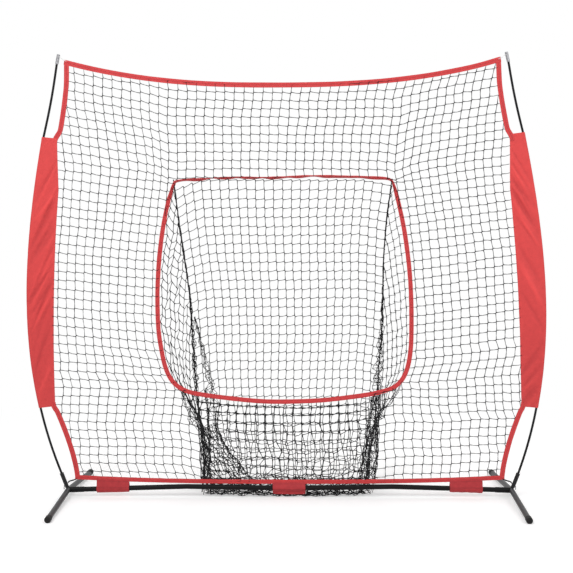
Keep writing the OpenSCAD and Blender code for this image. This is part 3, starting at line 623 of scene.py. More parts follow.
# %% The strike zone's edge
def smooth_line(points, steps):
    """A smooth line through the points (Catmull-Rom)."""
    points = np.asarray(points, float)
    padded = np.vstack([2 * points[0] - points[1], points, 2 * points[-1] - points[-2]])
    line = []
    for i in range(1, len(padded) - 2):
        p0, p1, p2, p3 = padded[i - 1:i + 3]
        for t in np.arange(steps) / steps:
            line.append(0.5 * (2 * p1 + (p2 - p0) * t + (2 * p0 - 5 * p1 + 4 * p2 - p3) * t ** 2
                               + (3 * p1 - p0 - 3 * p2 + p3) * t ** 3))
    line.append(points[-1])
    return np.array(line)


ZONE_STEPS, ZONE_CORNER = 4, (532, 1492)
ZONE_POINTS = [
    (-526, 1527), (-503, 1535), (-400, 1541), (-240, 1548), (-80, 1546), (60, 1551), (170, 1554),
    (310, 1550), (440, 1546), (495, 1540), (517, 1529), ZONE_CORNER, (551, 1411), (570, 1315),
    (584, 1219), (597, 1090), (603, 950), (602, 800), (597, 715), (585, 645), (564, 589),
    (533, 550), (490, 525), (410, 504), (304, 488), (159, 472), (0, 466), (-131, 468),
    (-277, 482), (-400, 498), (-480, 514), (-532, 541), (-567, 580), (-592, 640), (-607, 715),
    (-620, 820), (-621, 977), (-612, 1122), (-599, 1230), (-583, 1325), (-562, 1420),
    (-542, 1488)]
ZONE_EDGE = smooth_line(ZONE_POINTS + ZONE_POINTS[:1], ZONE_STEPS)[:-1]
low_end = int(np.argmin(ZONE_EDGE[:, 1]))
zone_right = ZONE_EDGE[ZONE_POINTS.index(ZONE_CORNER) * ZONE_STEPS:low_end][::-1]
zone_left = ZONE_EDGE[low_end:]


def in_zone(x, z):
    """Whether points lie inside the strike zone's line."""
    x, z = np.asarray(x, float)[..., None], np.asarray(z, float)[..., None]
    (x0, z0), (x1, z1) = ZONE_EDGE.T, np.roll(ZONE_EDGE, -1, axis=0).T
    crosses = (z0 > z) != (z1 > z)
    left_of = x < x0 + (x1 - x0) * (z - z0) / np.where(z1 == z0, 1, z1 - z0)
    return (crosses & left_of).sum(-1) % 2 == 1


def zone_side(side, z):
    line = zone_left if side < 0 else zone_right
    return np.interp(z, line[:, 1], line[:, 0])


print("strike zone", np.ptp(ZONE_EDGE, axis=0).round(), "mm wide and tall")

# %% [markdown]
# A finished piece always gets the same last steps: its material, the body it rides on, and the
# solids it stands for. Pieces made from points are built in millimetres and stored in metres.
# Many cords become one mesh: each is a line of a curve with a round bevel, and the curve is
# converted.

# %% Finishing helpers
def only(piece):
    """Makes the piece the only one that is selected, and the active one."""
    bpy.ops.object.select_all(action="DESELECT")
    piece.select_set(True)
    bpy.context.view_layer.objects.active = piece


def dress(piece, name, material, slot, *nodes, angle=40, rides=True):
    piece.name = name
    piece.data.materials.clear()
    piece.data.materials.append(material)
    only(piece)
    bpy.ops.object.shade_smooth_by_angle(angle=math.radians(angle))
    piece.select_set(False)
    if rides:
        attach(piece, ROOT)
    if nodes:
        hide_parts(*nodes)
    return piece


def mesh_from(points, faces, flat=None):
    """A mesh object from points in millimetres, with flat as its tape map where it has one."""
    mesh = bpy.data.meshes.new("piece")
    mesh.from_pydata((np.asarray(points, float) * MM).tolist(), [], faces)
    if flat is not None:
        layer = mesh.uv_layers.new(name="tape")
        loops = np.zeros(len(mesh.loops), dtype=np.int32)
        mesh.loops.foreach_get("vertex_index", loops)
        layer.data.foreach_set("uv", np.asarray(flat, float)[loops].ravel())
    piece = bpy.data.objects.new("piece", mesh)
    bpy.context.scene.collection.objects.link(piece)
    return piece


def face_outwards(piece):
    only(piece)
    bpy.ops.object.mode_set(mode="EDIT")
    bpy.ops.mesh.select_all(action="SELECT")
    bpy.ops.mesh.normals_make_consistent(inside=False)
    bpy.ops.object.mode_set(mode="OBJECT")
    piece.select_set(False)


def cords_from(strands, radius, sides=4):
    """One mesh of round closed cords. Each strand is (points in mm, radius factors)."""
    curve = bpy.data.curves.new("strands", "CURVE")
    curve.dimensions = "3D"
    curve.bevel_depth = radius * MM
    curve.bevel_resolution = max(0, sides // 2 - 2)
    curve.use_fill_caps = True
    for points, factors in strands:
        spline = curve.splines.new("POLY")
        spline.points.add(len(points) - 1)
        spots = np.ones((len(points), 4), dtype=np.float32)
        spots[:, :3] = np.asarray(points) * MM
        spline.points.foreach_set("co", spots.ravel())
        spline.points.foreach_set("radius", np.asarray(factors, dtype=np.float32))
    piece = bpy.data.objects.new("strands", curve)
    bpy.context.scene.collection.objects.link(piece)
    only(piece)
    bpy.ops.object.convert(target="MESH")
    piece = bpy.context.view_layer.objects.active
    face_outwards(piece)
    return piece


def join(pieces):
    only(pieces[0])
    for piece in pieces[1:]:
        piece.select_set(True)
    bpy.ops.object.join()
    return bpy.context.active_object


print("helpers ready")

# %% [markdown]
# The poles are glass-fibre rods in four sections, joined by short sleeves of steel. A rod could
# be a cylinder that is bent with a modifier. A curve with a round bevel is simpler, because the
# bow is already known as a line, and the radius stays true along it.

# %% Bowed rods and their ferrules
ROD_R, ROD_GAP, ROD_END, SECTIONS = 5.5, 0.3, 18, 4
FERRULE_R, FERRULE_AT = 6.5, np.array([-38, -37, -20, 0, 20, 37, 38])
pole_foot_z = CORNER_Z + POLE_LOW * math.cos(SOCKET_LEAN)


def joint_z(index):
    return lerp(pole_foot_z, POLE_TOP - ROD_END, index / SECTIONS)


rods = []
for side, word in ((-1, "left"), (1, "right")):
    for index in range(SECTIONS):
        low = joint_z(index) + (ROD_GAP / 2 if index else 0)
        high = joint_z(index + 1) - (ROD_GAP / 2 if index < SECTIONS - 1 else 0)
        path = [pole_point(side, z) for z in np.linspace(low, high, 22)]
        rod = cords_from([(path, np.ones(22))], ROD_R, 20)
        rods.append(dress(rod, f"rod_{index + 1}_{word}", glass_fibre, "fibreglass",
                          f"pole_{index + 1}_{word}"))
    rings = []
    for index in range(1, SECTIONS):
        # A ferrule's ends are turned down over their last millimetre.
        path = [pole_point(side, z) for z in joint_z(index) + FERRULE_AT]
        rings.append((path, [0.94, 1, 1, 1, 1, 1, 0.94]))
    ferrules = cords_from(rings, FERRULE_R, 20)
    rods.append(dress(ferrules, f"ferrules_{word}", zinc, "zinc_steel", f"pole_ferrules_{word}"))
print("rods:", [(r.name, len(r.data.vertices)) for r in rods[:2]])

# %% [markdown]
# Each leg ends in a moulded rubber cap with a rounded rim and a raised ring round a dimple on
# its face. One cap is modelled by hand from a cylinder: inset and extrude make the ring, the
# dimple and the bore for the tube. Then it is copied to the four feet, and each copy is turned
# to its leg. The cap's lowest part is pressed flat, as rubber is under load.

# %% Foot caps
def select_faces(piece, wanted):
    """Edit mode with only the faces whose normals satisfy wanted."""
    only(piece)
    bpy.ops.object.mode_set(mode="EDIT")
    bpy.ops.mesh.select_mode(type="FACE")
    bpy.ops.mesh.select_all(action="DESELECT")
    bpy.ops.object.mode_set(mode="OBJECT")
    for polygon in piece.data.polygons:
        polygon.select = bool(wanted(polygon.normal.z))
    bpy.ops.object.mode_set(mode="EDIT")


CAP_R, CAP_LEN, CAP_BORE_DEPTH, CAP_ROUND, CAP_LIFT = 0.015, 0.034, 0.029, 0.0042, 0.0002
FOOT_X, FOOT_Y, FOOT_Z = 1.064, 0.474, 0.0142
# From the face's edge inwards: the raised ring, the step down inside it, a flat and the dimple.
FACE_STEPS = ((0.0014, 0), (0.0007, -0.0009), (0.0036, 0), (0.0008, -0.0012))
RIM_STEPS = ((0.0007, 0.0005), (0.0015, 0))
bpy.ops.object.select_all(action="DESELECT")
bpy.ops.mesh.primitive_cylinder_add(vertices=40, radius=CAP_R, depth=CAP_LEN,
                                    location=(0, 0, CAP_LEN / 2))
cap = bpy.context.active_object
bpy.ops.object.transform_apply(location=True, rotation=True, scale=True)
select_faces(cap, lambda normal_z: normal_z < -0.9)
bpy.ops.mesh.bevel(offset=CAP_ROUND, segments=5, affect="EDGES")
bpy.ops.object.mode_set(mode="OBJECT")
select_faces(cap, lambda normal_z: normal_z < -0.99)
for wide, deep in FACE_STEPS:
    bpy.ops.mesh.inset(thickness=wide, depth=deep)
bpy.ops.object.mode_set(mode="OBJECT")
select_faces(cap, lambda normal_z: normal_z > 0.99)
for wide, deep in RIM_STEPS:
    bpy.ops.mesh.inset(thickness=wide, depth=deep)
bpy.ops.mesh.extrude_region_move(TRANSFORM_OT_translate={"value": (0, 0, -CAP_BORE_DEPTH)})
bpy.ops.object.mode_set(mode="OBJECT")
caps = []
for side in (-1, 1):
    for end in (-1, 1):
        foot = Vector((side * FOOT_X, end * FOOT_Y, FOOT_Z))
        along = (Vector((side * CORNER_X * MM, 0, CORNER_Z * MM)) - foot).normalized()
        copy = cap.copy()
        copy.data = cap.data.copy()
        bpy.context.scene.collection.objects.link(copy)
        turn = along.to_track_quat("Z", "X").to_matrix().to_4x4()
        copy.data.transform(Matrix.Translation(foot) @ turn)
        for vertex in copy.data.vertices:
            vertex.co.z = max(vertex.co.z, CAP_LIFT)
        caps.append(copy)
bpy.data.objects.remove(cap)
foot_caps = dress(join(caps), "rubber_foot_caps", rubber, "cap_rubber", "foot_caps", angle=35)
print("foot caps:", len(foot_caps.data.polygons), "faces")

# %% [markdown]
# Each snap button is pushed out by a leaf spring in the tube: a strip of spring steel, bent
# back on itself, with one arm on the far wall and the other under the button. The strip is
# drawn from a small plane: its end edge is extruded along the upper arm, spun round the bend
# and extruded again. A Solidify modifier gives the steel its thickness.

# %% A bent strip of spring steel
STRIP_WIDE, STRIP_THICK, BEND_AT, ARM_LEN = 7.0, 0.8, -20.0, 28


def pull_out(x, z):
    """Extrudes what is selected by x and z, in mm."""
    bpy.ops.mesh.extrude_region_move(TRANSFORM_OT_translate={"value": (x * MM, 0, z * MM)})


def drawn_strip(top, bend_z, bend_r):
    """The strip along X, with its upper arm at height top and the bend round bend_z. In mm."""
    bpy.ops.object.select_all(action="DESELECT")
    bpy.ops.mesh.primitive_plane_add(size=STRIP_WIDE * MM, location=(2.5 * MM, 0, top * MM))
    strip = bpy.context.active_object
    bpy.ops.object.transform_apply(location=True, rotation=True, scale=True)
    bpy.ops.object.mode_set(mode="EDIT")
    bpy.ops.mesh.select_mode(type="EDGE")
    bpy.ops.mesh.select_all(action="DESELECT")
    bpy.ops.object.mode_set(mode="OBJECT")
    for edge in strip.data.edges:
        edge.select = all(strip.data.vertices[i].co.x < 0 for i in edge.vertices)
    bpy.ops.object.mode_set(mode="EDIT")
    pull_out(-5.0, 0.0)
    pull_out(BEND_AT + 6.0, bend_z + bend_r - top)
    bpy.ops.mesh.spin(steps=14, angle=math.pi, center=(BEND_AT * MM, 0, bend_z * MM),
                      axis=(0, 1, 0))
    pull_out(ARM_LEN, 0)
    bpy.ops.mesh.select_all(action="SELECT")
    bpy.ops.mesh.remove_doubles(threshold=0.00001)
    bpy.ops.mesh.normals_make_consistent(inside=False)
    bpy.ops.object.mode_set(mode="OBJECT")
    rounded = {"width": 0.00015, "segments": 2, "angle_limit": math.radians(50)}
    for kind, values in (("SOLIDIFY", {"thickness": STRIP_THICK * MM, "offset": 0.0}),
                         ("BEVEL", rounded)):
        modifier = strip.modifiers.new(kind.lower(), kind)
        for key, value in values.items():
            setattr(modifier, key, value)
        bpy.ops.object.modifier_apply(modifier=modifier.name)
    return strip


print("strip of", STRIP_WIDE, "x", STRIP_THICK, "mm")

# %% [markdown]
# A spring's arms fit the bore they lie in: the corner buttons sit in the crossbar's tube, and
# the middle one, upside down, in the thinner spigot. The loaded button says where each one is.
# When a button is pressed the upper arm goes down with it and the lower arm stays.

# %% Leaf springs
CLEAR, FLANGE_R, FLANGE_THICK, TUBE_BORE, SPIGOT_BORE = 0.2, 4.7, 1.1, 21.6, 18.8
OUTER_SLOPE = (BEND_Z - CORNER_Z) / (CORNER_X - BEND_X)
MIDDLE_SLOPE = (BEND_Z - MIDDLE_Z) / BEND_X


def bar_height(x):
    """Height of the crossbar's axis, which has one gentle bend on each side."""
    far = abs(x)
    if far > BEND_X:
        return lerp(BEND_Z, CORNER_Z, (far - BEND_X) / (CORNER_X - BEND_X))
    return lerp(MIDDLE_Z, BEND_Z, far / BEND_X)


springs = []
for word, bore, slope, way in (("left", TUBE_BORE, OUTER_SLOPE, 1),
                               ("right", TUBE_BORE, -OUTER_SLOPE, 1),
                               ("middle", SPIGOT_BORE, MIDDLE_SLOPE, -1)):
    low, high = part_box(f"snap_button_{word}")
    x = (low.x + high.x) / 2 / MM
    middle = Vector((x, 0, bar_height(x))) * MM
    upper = math.sqrt((bore / 2) ** 2 - FLANGE_R ** 2) - CLEAR - FLANGE_THICK - CLEAR
    foot = math.sqrt((bore / 2) ** 2 - (STRIP_WIDE / 2) ** 2) - CLEAR
    bend_r = (upper * 0.7 + foot) / 2
    strip = drawn_strip(upper - STRIP_THICK / 2, upper * 0.7 - bend_r, bend_r - STRIP_THICK / 2)
    ahead_of = Vector((1, 0, slope)).normalized()
    above = Vector((-ahead_of.z, 0, ahead_of.x)) * way
    turn = Matrix((ahead_of, above.cross(ahead_of), above)).transposed().to_4x4()
    strip.data.transform(Matrix.Translation(middle) @ turn)
    face_outwards(strip)
    dress(strip, f"leaf_spring_{word}", zinc, "zinc_steel", f"button_spring_{word}", angle=30,
          rides=False)
    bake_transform(strip)
    springs.append(strip)
print("leaf springs:", [s.name for s in springs])

# %% [markdown]
# A red sleeve is a strip of oxford cloth folded round the pole and sewn to the net's edge. Thin
# cloth under tension creases, and each crease here is a slanting ridge with a narrow smooth
# section. The left sleeve creases all along. The right one is pulled most towards its top, and
# near its foot the creases slant the other way. Slow waves, drawn from a seed so that each run
# gives the same ones, keep any cloth or netting from looking ruled.

# %% Creases of the sleeves
def drift(points, size, seed, count=7):
    """Smooth waves over points, about size across and one unit high."""
    rng = np.random.default_rng(seed)
    points = np.asarray(points, float)
    waves = rng.normal(size=(count, points.shape[-1])) * 2.4 / size
    return np.sin(points @ waves.T + rng.uniform(0, 6.283, count)).sum(-1) / 2.6


def creases_of(side, rng):
    """Each crease: its height at the pole, its slope, its width and its swing, in mm."""
    if side < 0:
        spots = rng.normal(1000, 270, 40)
    else:
        spots = rng.normal([1330] * 26 + [560] * 14, [190] * 26 + [90] * 14)
    creases = []
    for spot in spots:
        slope, size = -rng.uniform(1.3, 2.9), rng.uniform(11, 26)
        swing = rng.uniform(2.5, 6.0) * rng.choice([-1, 1])
        if side > 0 and spot <= 800:
            slope = -slope * 0.7
        creases.append((spot, slope, size, swing))
    return creases


def sway_at(z, inward, creases):
    """How far the creases push the cloth forwards or back."""
    sway = 0.0
    for spot, slope, size, swing in creases:
        gap = (z - spot + slope * inward) / size
        sway += swing * math.exp(-gap * gap)
    return sway


print("creases:", len(creases_of(1, np.random.default_rng(29))))

# %% [markdown]
# The sleeve is one long closed shell: a ring of points round the pole and along both layers of
# its tail, repeated up the pole, outside and inside. The outer wall's last points at both ends
# stand a little proud, as a turned hem does. Both layers wrinkle together. An attribute keeps
# the creases for the cloth's painted shade, from 0 on a ridge to 1 in a hollow, where the colour
# is painted darkest.

# %% Pole sleeves
STATIONS_UP, SLEEVE_R, EDGE_HALF, CLOTH_WALL, HEM, HEM_TALL = 230, 8.0, 2.6, 0.9, 0.5, 13
RIGHT_LONGER, BIG_WAVE = 13, 3.0


def sleeve_ring(z, wall, hem):
    """Points round the pole and along both layers: inward, back, and share of the tail."""
    r, edge = SLEEVE_R - wall + hem, EDGE_HALF - wall + hem
    reach = pole_half(z) - sleeve_inner(z) - wall * 4
    ring = []
    for k in range(13):
        turn = math.radians(90 - 15 * k)
        ring.append((-r * math.cos(turn), r * math.sin(turn), 0.0))
    tail = np.linspace(0, 1, 23)[1:]
    ring += [(reach * t, -lerp(r, edge, t ** 0.7), t) for t in tail]
    return ring + [(reach * t, lerp(r, edge, t ** 0.7), t) for t in tail[::-1]]


def shell_faces(n, m):
    """Faces of a closed shell: n rings of m points outside, as many inside, and both rims."""
    faces = []
    for i in range(n - 1):
        for k in range(m):
            a, b = i * m + k, i * m + (k + 1) % m
            faces.append((a, b, b + m, a + m))
            faces.append((n * m + a, n * m + a + m, n * m + b + m, n * m + b))
    for i, flip in ((0, 1), (n - 1, 0)):
        for k in range(m):
            a, b = i * m + k, i * m + (k + 1) % m
            rim = (a, n * m + a, n * m + b, b) if flip else (a, b, n * m + b, n * m + a)
            faces.append(rim)
    return faces


def sleeve(side, word, seed):
    top_end = SLEEVE_TOP + (RIGHT_LONGER if side > 0 else 0)
    creases = creases_of(side, np.random.default_rng(seed))
    heights = np.linspace(SLEEVE_LOW, top_end, STATIONS_UP)
    rings, hollow = [[], []], [[], []]
    for z in heights:
        middle = pole_point(side, z)
        along = pole_point(side, z + 5) - pole_point(side, z - 5)
        along = along / np.linalg.norm(along)
        out = np.array([side * along[2], 0, -side * along[0]])
        hem = HEM if min(z - SLEEVE_LOW, top_end - z) < HEM_TALL else 0.0
        for layer, wall in ((0, 0.0), (1, CLOTH_WALL)):
            ring = []
            for inward, y, t in sleeve_ring(z, wall, hem * (1 - layer)):
                point = middle - out * inward * np.array([1, 1, 0.45]) + np.array([0, y, 0])
                sway = sway_at(point[2], inward, creases)
                free, hollowed = 0.12, 0
                if t > 0:
                    free = math.sin(math.pi * clamp(t * 0.88 + 0.12)) * (0.35 + 0.65 * t)
                    hollowed = free
                ring.append(point + np.array([0, sway * free, 0]))
                # Painted shade: how deep in a crease's hollow the cloth lies, which darkens its
                # colour.
                hollow[layer].append(float(clamp(0.5 + sway * hollowed / 8)))
            rings[layer].append(ring)
    outer, inner = np.array(rings[0]), np.array(rings[1])
    big = drift(outer[:, :, [0, 2]], 190, seed + 1) * BIG_WAVE
    pole_x = np.array([pole_point(side, z)[0] for z in heights])[:, None]
    weight = np.clip(np.abs(outer[:, :, 0] - pole_x) / 60, 0, 1)
    outer[:, :, 1] += big * weight
    inner[:, :, 1] += big * weight
    points = np.concatenate([outer.reshape(-1, 3), inner.reshape(-1, 3)])
    piece = mesh_from(points, shell_faces(*outer.shape[:2]))
    shade = piece.data.attributes.new("hollow", "FLOAT", "POINT")
    shade.data.foreach_set("value", hollow[0] + hollow[1])
    face_outwards(piece)
    return dress(piece, f"cloth_sleeve_{word}", red_cloth, "red_cloth", f"pole_sleeve_{word}",
                 angle=60)


sleeves = [sleeve(-1, "left", 11), sleeve(1, "right", 29)]
print("sleeves:", [len(s.data.vertices) for s in sleeves])

# %% [markdown]
# The net's edges are bound in tape that is folded over them, so its section is a narrow U. One
# function sweeps that section along any line, given which way the tape's fold points. The tape
# map runs in metres along it and from 0 to 1 across it, and the stitching follows that map.

# %% A folded tape along a line
TAPE_WALL, RIPPLE_LEN, FLUTTER_LEN = 0.75, 42, 30


def run_along(path):
    """Distance along a line, at each of its points."""
    return np.concatenate([[0], np.cumsum(np.linalg.norm(np.diff(path, axis=0), axis=1))])


def tape_section(width, half):
    """The U of a folded tape, round its outside and back inside: across and through it."""
    flat = np.linspace(-width / 2, width / 2 - half, 6)
    fold = [math.radians(a) for a in (-60, -30, 0, 30, 60)]
    centre, inner = width / 2 - half, half - TAPE_WALL
    section = [(a, -half + 0.25 * abs(a) / width) for a in flat]
    section += [(centre + half * math.cos(t), half * math.sin(t)) for t in fold]
    section += [(a, half - 0.25 * abs(a) / width) for a in flat[::-1]]
    section += [(a, inner) for a in flat]
    section += [(centre + inner * math.cos(t), inner * math.sin(t)) for t in fold[::-1]]
    return section + [(a, -inner) for a in flat[::-1]]


def tape(path, outward, name, material, nodes, width=BAND, half=2.0, closed=False, seed=5,
         wave=0.7):
    """Sweeps the folded section along a path, with its fold towards outward. In mm."""
    path, outward = np.asarray(path, float), np.asarray(outward, float)
    n = len(path)
    if closed:
        ahead_of, behind_it = np.roll(path, -1, axis=0), np.roll(path, 1, axis=0)
    else:
        ahead_of, behind_it = np.vstack([path[1:], path[-1:]]), np.vstack([path[:1], path[:-1]])
    along = ahead_of - behind_it
    along /= np.linalg.norm(along, axis=1)[:, None]
    outward = outward - (outward * along).sum(1)[:, None] * along
    outward /= np.linalg.norm(outward, axis=1)[:, None]
    thick = np.cross(along, outward)
    run = run_along(path)
    section = tape_section(width, half)
    m = len(section)
    points, flats = [], []
    ripple = drift(np.column_stack([run, run * 0]), RIPPLE_LEN, seed) * wave
    for i in range(n):
        for a, b in section:
            flutter = drift(np.array([[run[i], a * 2.0]]), FLUTTER_LEN, seed + 3)[0]
            lift = ripple[i] * 0.6 + flutter * wave * 0.4
            points.append(path[i] + outward[i] * a * (1 + 0.02 * ripple[i])
                          + thick[i] * (b + lift))
            flats.append((run[i] * MM, a / width + 0.5))
    faces = []
    for i in range(n if closed else n - 1):
        j = (i + 1) % n
        for k in range(m):
            q = (k + 1) % m
            faces.append((i * m + k, i * m + q, j * m + q, j * m + k))
    if not closed:
        faces.append(tuple(range(m))[::-1])
        faces.append(tuple((n - 1) * m + k for k in range(m)))
    piece = mesh_from(points, faces, flats)
    face_outwards(piece)
    dress(piece, name, material, "red_binding", *nodes, angle=50)
    return piece, float(run[-1]) * MM


def plane(x, z, back=0.0):
    """Points of the leaning net's plane."""
    x, z = np.asarray(x, float), np.asarray(z, float)
    return np.column_stack([x + lean(z), np.full_like(x, back), z])


def even(path, step):
    """The same line with points a step apart."""
    run = run_along(path[:, :3])
    at = np.linspace(0, run[-1], int(run[-1] / step) + 1)
    return np.column_stack([np.interp(at, run, values) for values in path.T])


print("a tape's section has", len(tape_section(BAND, 2.0)), "points")

# %% [markdown]
# The border has six runs of tape: the sagging top, the bottom, and above and below each sleeve a
# curved length that pulls in towards the corner. The cloth sleeves cover the rest of the sides.
# Each side tape slips under its sleeve's hem, so its line eases over to the sleeve's.

# %% Border tapes
UNDER_HEM, HEM_EASE = 26, 61
TOP_STEP, SIDE_STEP = 14, 11
tapes = {}


def border(name, line, way, node, **values):
    fold = np.tile(way, (len(line), 1))
    tapes[name] = tape(line, fold, name, border_tape, [node], **values)


def ease(t):
    t = clamp(t)
    return t * t * (3 - 2 * t)


x = np.linspace(-NET_TOP_X - 4, NET_TOP_X + 3, 160)
lifted = 3 * clamp((x - 880) / 150) ** 2
border("tape_top", even(plane(x, top_z(x) - BAND / 2 + lifted), TOP_STEP), [0, 0, 1],
       "border_top", seed=7)
x = np.linspace(-NET_LOW_X, NET_LOW_X, 160)
border("tape_bottom", even(plane(x, bottom_z(x)), TOP_STEP), [0, 0, -1], "border_bottom",
       width=21, half=2.5, seed=8)
for side, word in ((-1, "left"), (1, "right")):
    z = np.linspace(NET_TOP - BAND + (2.2 if side > 0 else -0.6), SLEEVE_TOP - UNDER_HEM, 60)
    under = ease((SLEEVE_TOP + HEM_EASE - UNDER_HEM - z) / HEM_EASE)
    line = plane(side * lerp(upper_edge(z) - BAND / 2, sleeve_inner(z) + 13, under), z)
    line[:, 0] += under * bow(side, z) + side * 4 * clamp((z - 1990) / 80)
    border(f"tape_upper_{word}", even(line, SIDE_STEP), [side, 0, 0], f"border_upper_{word}",
           seed=9 + side)
    z = np.linspace(SLEEVE_LOW + UNDER_HEM, 95, 60)
    under = ease((z - SLEEVE_LOW + 20) / 42)
    line = plane(side * lerp(lower_edge(z) - BAND / 2, sleeve_inner(z) + 11, under), z)
    line[:, 0] += under * bow(side, z)
    border(f"tape_lower_{word}", even(line, SIDE_STEP), [side, 0, 0], f"border_lower_{word}",
           seed=13 + side)
print("tape lengths in m:", {name: round(length, 2) for name, (piece, length) in tapes.items()})

# %% [markdown]
# The strike zone's tape is one closed loop. At the sides and below, it lies flat in the net. Along
# the top, the pocket's weight rolls it back until only its edge shows, a little wavy. So the
# outward direction of the tape turns from up to forwards over the two upper corners.

# %% Strike zone tape
ZONE_STEP, ZONE_BAND, ROLL_FROM, ROLL_BACK = 9, 21.5, 1300, 10.5
zone_path = even(np.vstack([plane(*ZONE_EDGE.T), plane(*ZONE_EDGE[:1].T)]), ZONE_STEP)[:-1]
run = np.arange(len(zone_path)) * float(ZONE_STEP)
sway = drift(np.column_stack([run, run * 0]), 60, 41)
roll = clamp((zone_path[:, 2] - ROLL_FROM) / 235) ** 1.6
turn = 0.1 + 0.22 * clamp((zone_path[:, 2] - 540) / 200) + roll * (0.86 + 0.2 * sway)
centre = np.array([float(lean(1000.0)), 0, 1010.0])
ring_ahead = np.roll(zone_path, -1, axis=0) - np.roll(zone_path, 1, axis=0)
ring_ahead /= np.linalg.norm(ring_ahead, axis=1)[:, None]
in_plane = np.cross(ring_ahead, np.tile([0, 1, 0], (len(zone_path), 1)))
in_plane *= np.sign(((zone_path - centre) * in_plane).sum(1))[:, None]
forwards = np.tile([0, -1, 0], (len(zone_path), 1))
outward = in_plane * np.cos(turn)[:, None] + forwards * np.sin(turn)[:, None]
zone_path[:, 1] += ROLL_BACK * np.sin(np.minimum(turn, 1.57))
zone_path[:, 2] += roll * sway * 1.2
zone_tape_piece, zone_length = tape(
    zone_path, outward, "zone_tape", zone_tape,
    ["zone_binding_top", "zone_binding_left", "zone_binding_right", "zone_binding_bottom"],
    width=ZONE_BAND, closed=True, seed=21, wave=0.9)
print("zone tape", round(zone_length, 2), "m")

# %% [markdown]
# Netting is twine with a knot at every crossing. A knot is longer than it is wide and lies
# slanting, so a twine reaches it at one end and leaves it at the other. That is why the rows of
# a real net look stepped. The flat net shows one face, with knots that lean right, and the
# pocket shows the other. Each strand is a line through such knots, with a little slack between.
# All strands of a panel become one mesh of closed four-sided cords, which stays light although
# there are thousands of meshes.

# %% Strands from a grid of knots
TWINE, AT_KNOT, AT_END, BETWEEN, SHORTEST = 1.45, 1.5, 0.95, 0.85, 14
# Where a twine reaches a knot, from the knot's middle: a column first, then a row.
LEANS_RIGHT = np.array([[0.9, 0.0, 2.6], [-2.6, 0.0, -2.3]])
LEANS_LEFT = np.array([[-1.3, 0.0, 2.9], [-2.7, 0.0, 3.3]])


def strand(knots, tied, slack, reach, rng):
    """Points and thickness of one twine. tied tells which of its ends are real knots."""
    knots = np.asarray(knots, float)
    points, thick = [], []
    for i, knot in enumerate(knots):
        if tied[i]:
            lie = reach * rng.uniform(0.75, 1.2)
            points += [knot + lie, knot - lie]
            thick += [AT_KNOT, AT_KNOT]
        else:
            points.append(knot)
            thick.append(AT_END)
        if i < len(knots) - 1 and np.linalg.norm(knots[i + 1] - knot) > SHORTEST:
            middle = lerp(knot, knots[i + 1], rng.uniform(0.4, 0.6))
            points.append(middle + slack * rng.uniform(0.3, 1.2) + rng.normal(0, 0.6, 3))
            thick.append(BETWEEN)
    return np.array(points), np.array(thick)


def strands_of(grid, row_slack, rng):
    """Strands both ways through a full grid of knots."""
    n, m = grid.shape[:2]
    slack = np.array(row_slack, float)
    down = [strand(grid[i], [True] * m, np.zeros(3), LEANS_LEFT[0], rng) for i in range(n)]
    return down + [strand(grid[:, j], [True] * n, slack, LEANS_LEFT[1], rng) for j in range(m)]


print("twine", round(2 * TWINE * BETWEEN, 1), "mm, at knots", round(2 * TWINE * AT_KNOT, 1), "mm")

# %% [markdown]
# The flat net is stretched between its tapes, and the pocket's weight pulls it in at the strike
# zone's corners. So its rows slope down from the side tapes to a crease over each corner, and its
# columns bend in and out. A plain grid of rows and columns is moved by laws for both: a few
# heights for the rows, and a few widths at chosen heights for the columns.

# %% Where the rows and columns run
MESH, STEP_OUT, FIRST_LOW_ROW = 44.0, 41.5, 32
# Heights, and at each of them how far out some columns are, by their numbers from the middle.
STATIONS = [60, 377, 465, 565, 730, 900, 1166, 1341, 1604, 1780, 1955, 2112]
COLUMNS_LEFT = {
    12: [-560, -566, -552, -557, -603, -610, -597, -575, -551, -555, -549, -545],
    15: [-695, -703, -687, -690, -729, -736, -722, -693, -654, -677, -684, -684],
    22: [-1017, -1017, -1010, -1012, -1023, -1026, -1012, -989, -965, -981, -993, -993]}
COLUMNS_RIGHT = {
    12: [510, 517, 510, 512, 540, 548, 537, 520, 490, 512, 537, 570],
    16: [689, 697, 681, 683, 707, 715, 703, 685, 644, 671, 702, 742],
    22: [963, 970, 957, 954, 965, 966, 955, 937, 912, 924, 947, 978]}
# Some rows by number, their heights beside the strike zone, and how steeply they rise outwards.
ROWS = [0, 4, 9, 14, 20, 26, 30, 33, 36, 38, 45, 47]
ROW_HEIGHT = [2026, 1865, 1658, 1453, 1194, 930, 756, 634, 526, 450, 161, 77]
RISE_LEFT = [0.178, 0.161, 0.147, 0.102, 0.082, 0.082, 0.076, 0.062, 0.024, 0.006, 0.011, 0.018]
RISE_RIGHT = [0.219, 0.180, 0.178, 0.156, 0.149, 0.149, 0.149, 0.117, 0.057, 0.041, 0.044, 0.044]
# Whole rows near the pocket slip sideways, which makes the columns zigzag.
SLIP_LEFT = [2, 1, -4, 4, 8, 2, -2, 0, -4, -4, 1, 3, -1, 0, 10, 22]
SLIP_RIGHT = [10, 8, 0, -5, 0, 1, 0, -2, 4, -1, -5, -2, 5, 3, -2, 1]


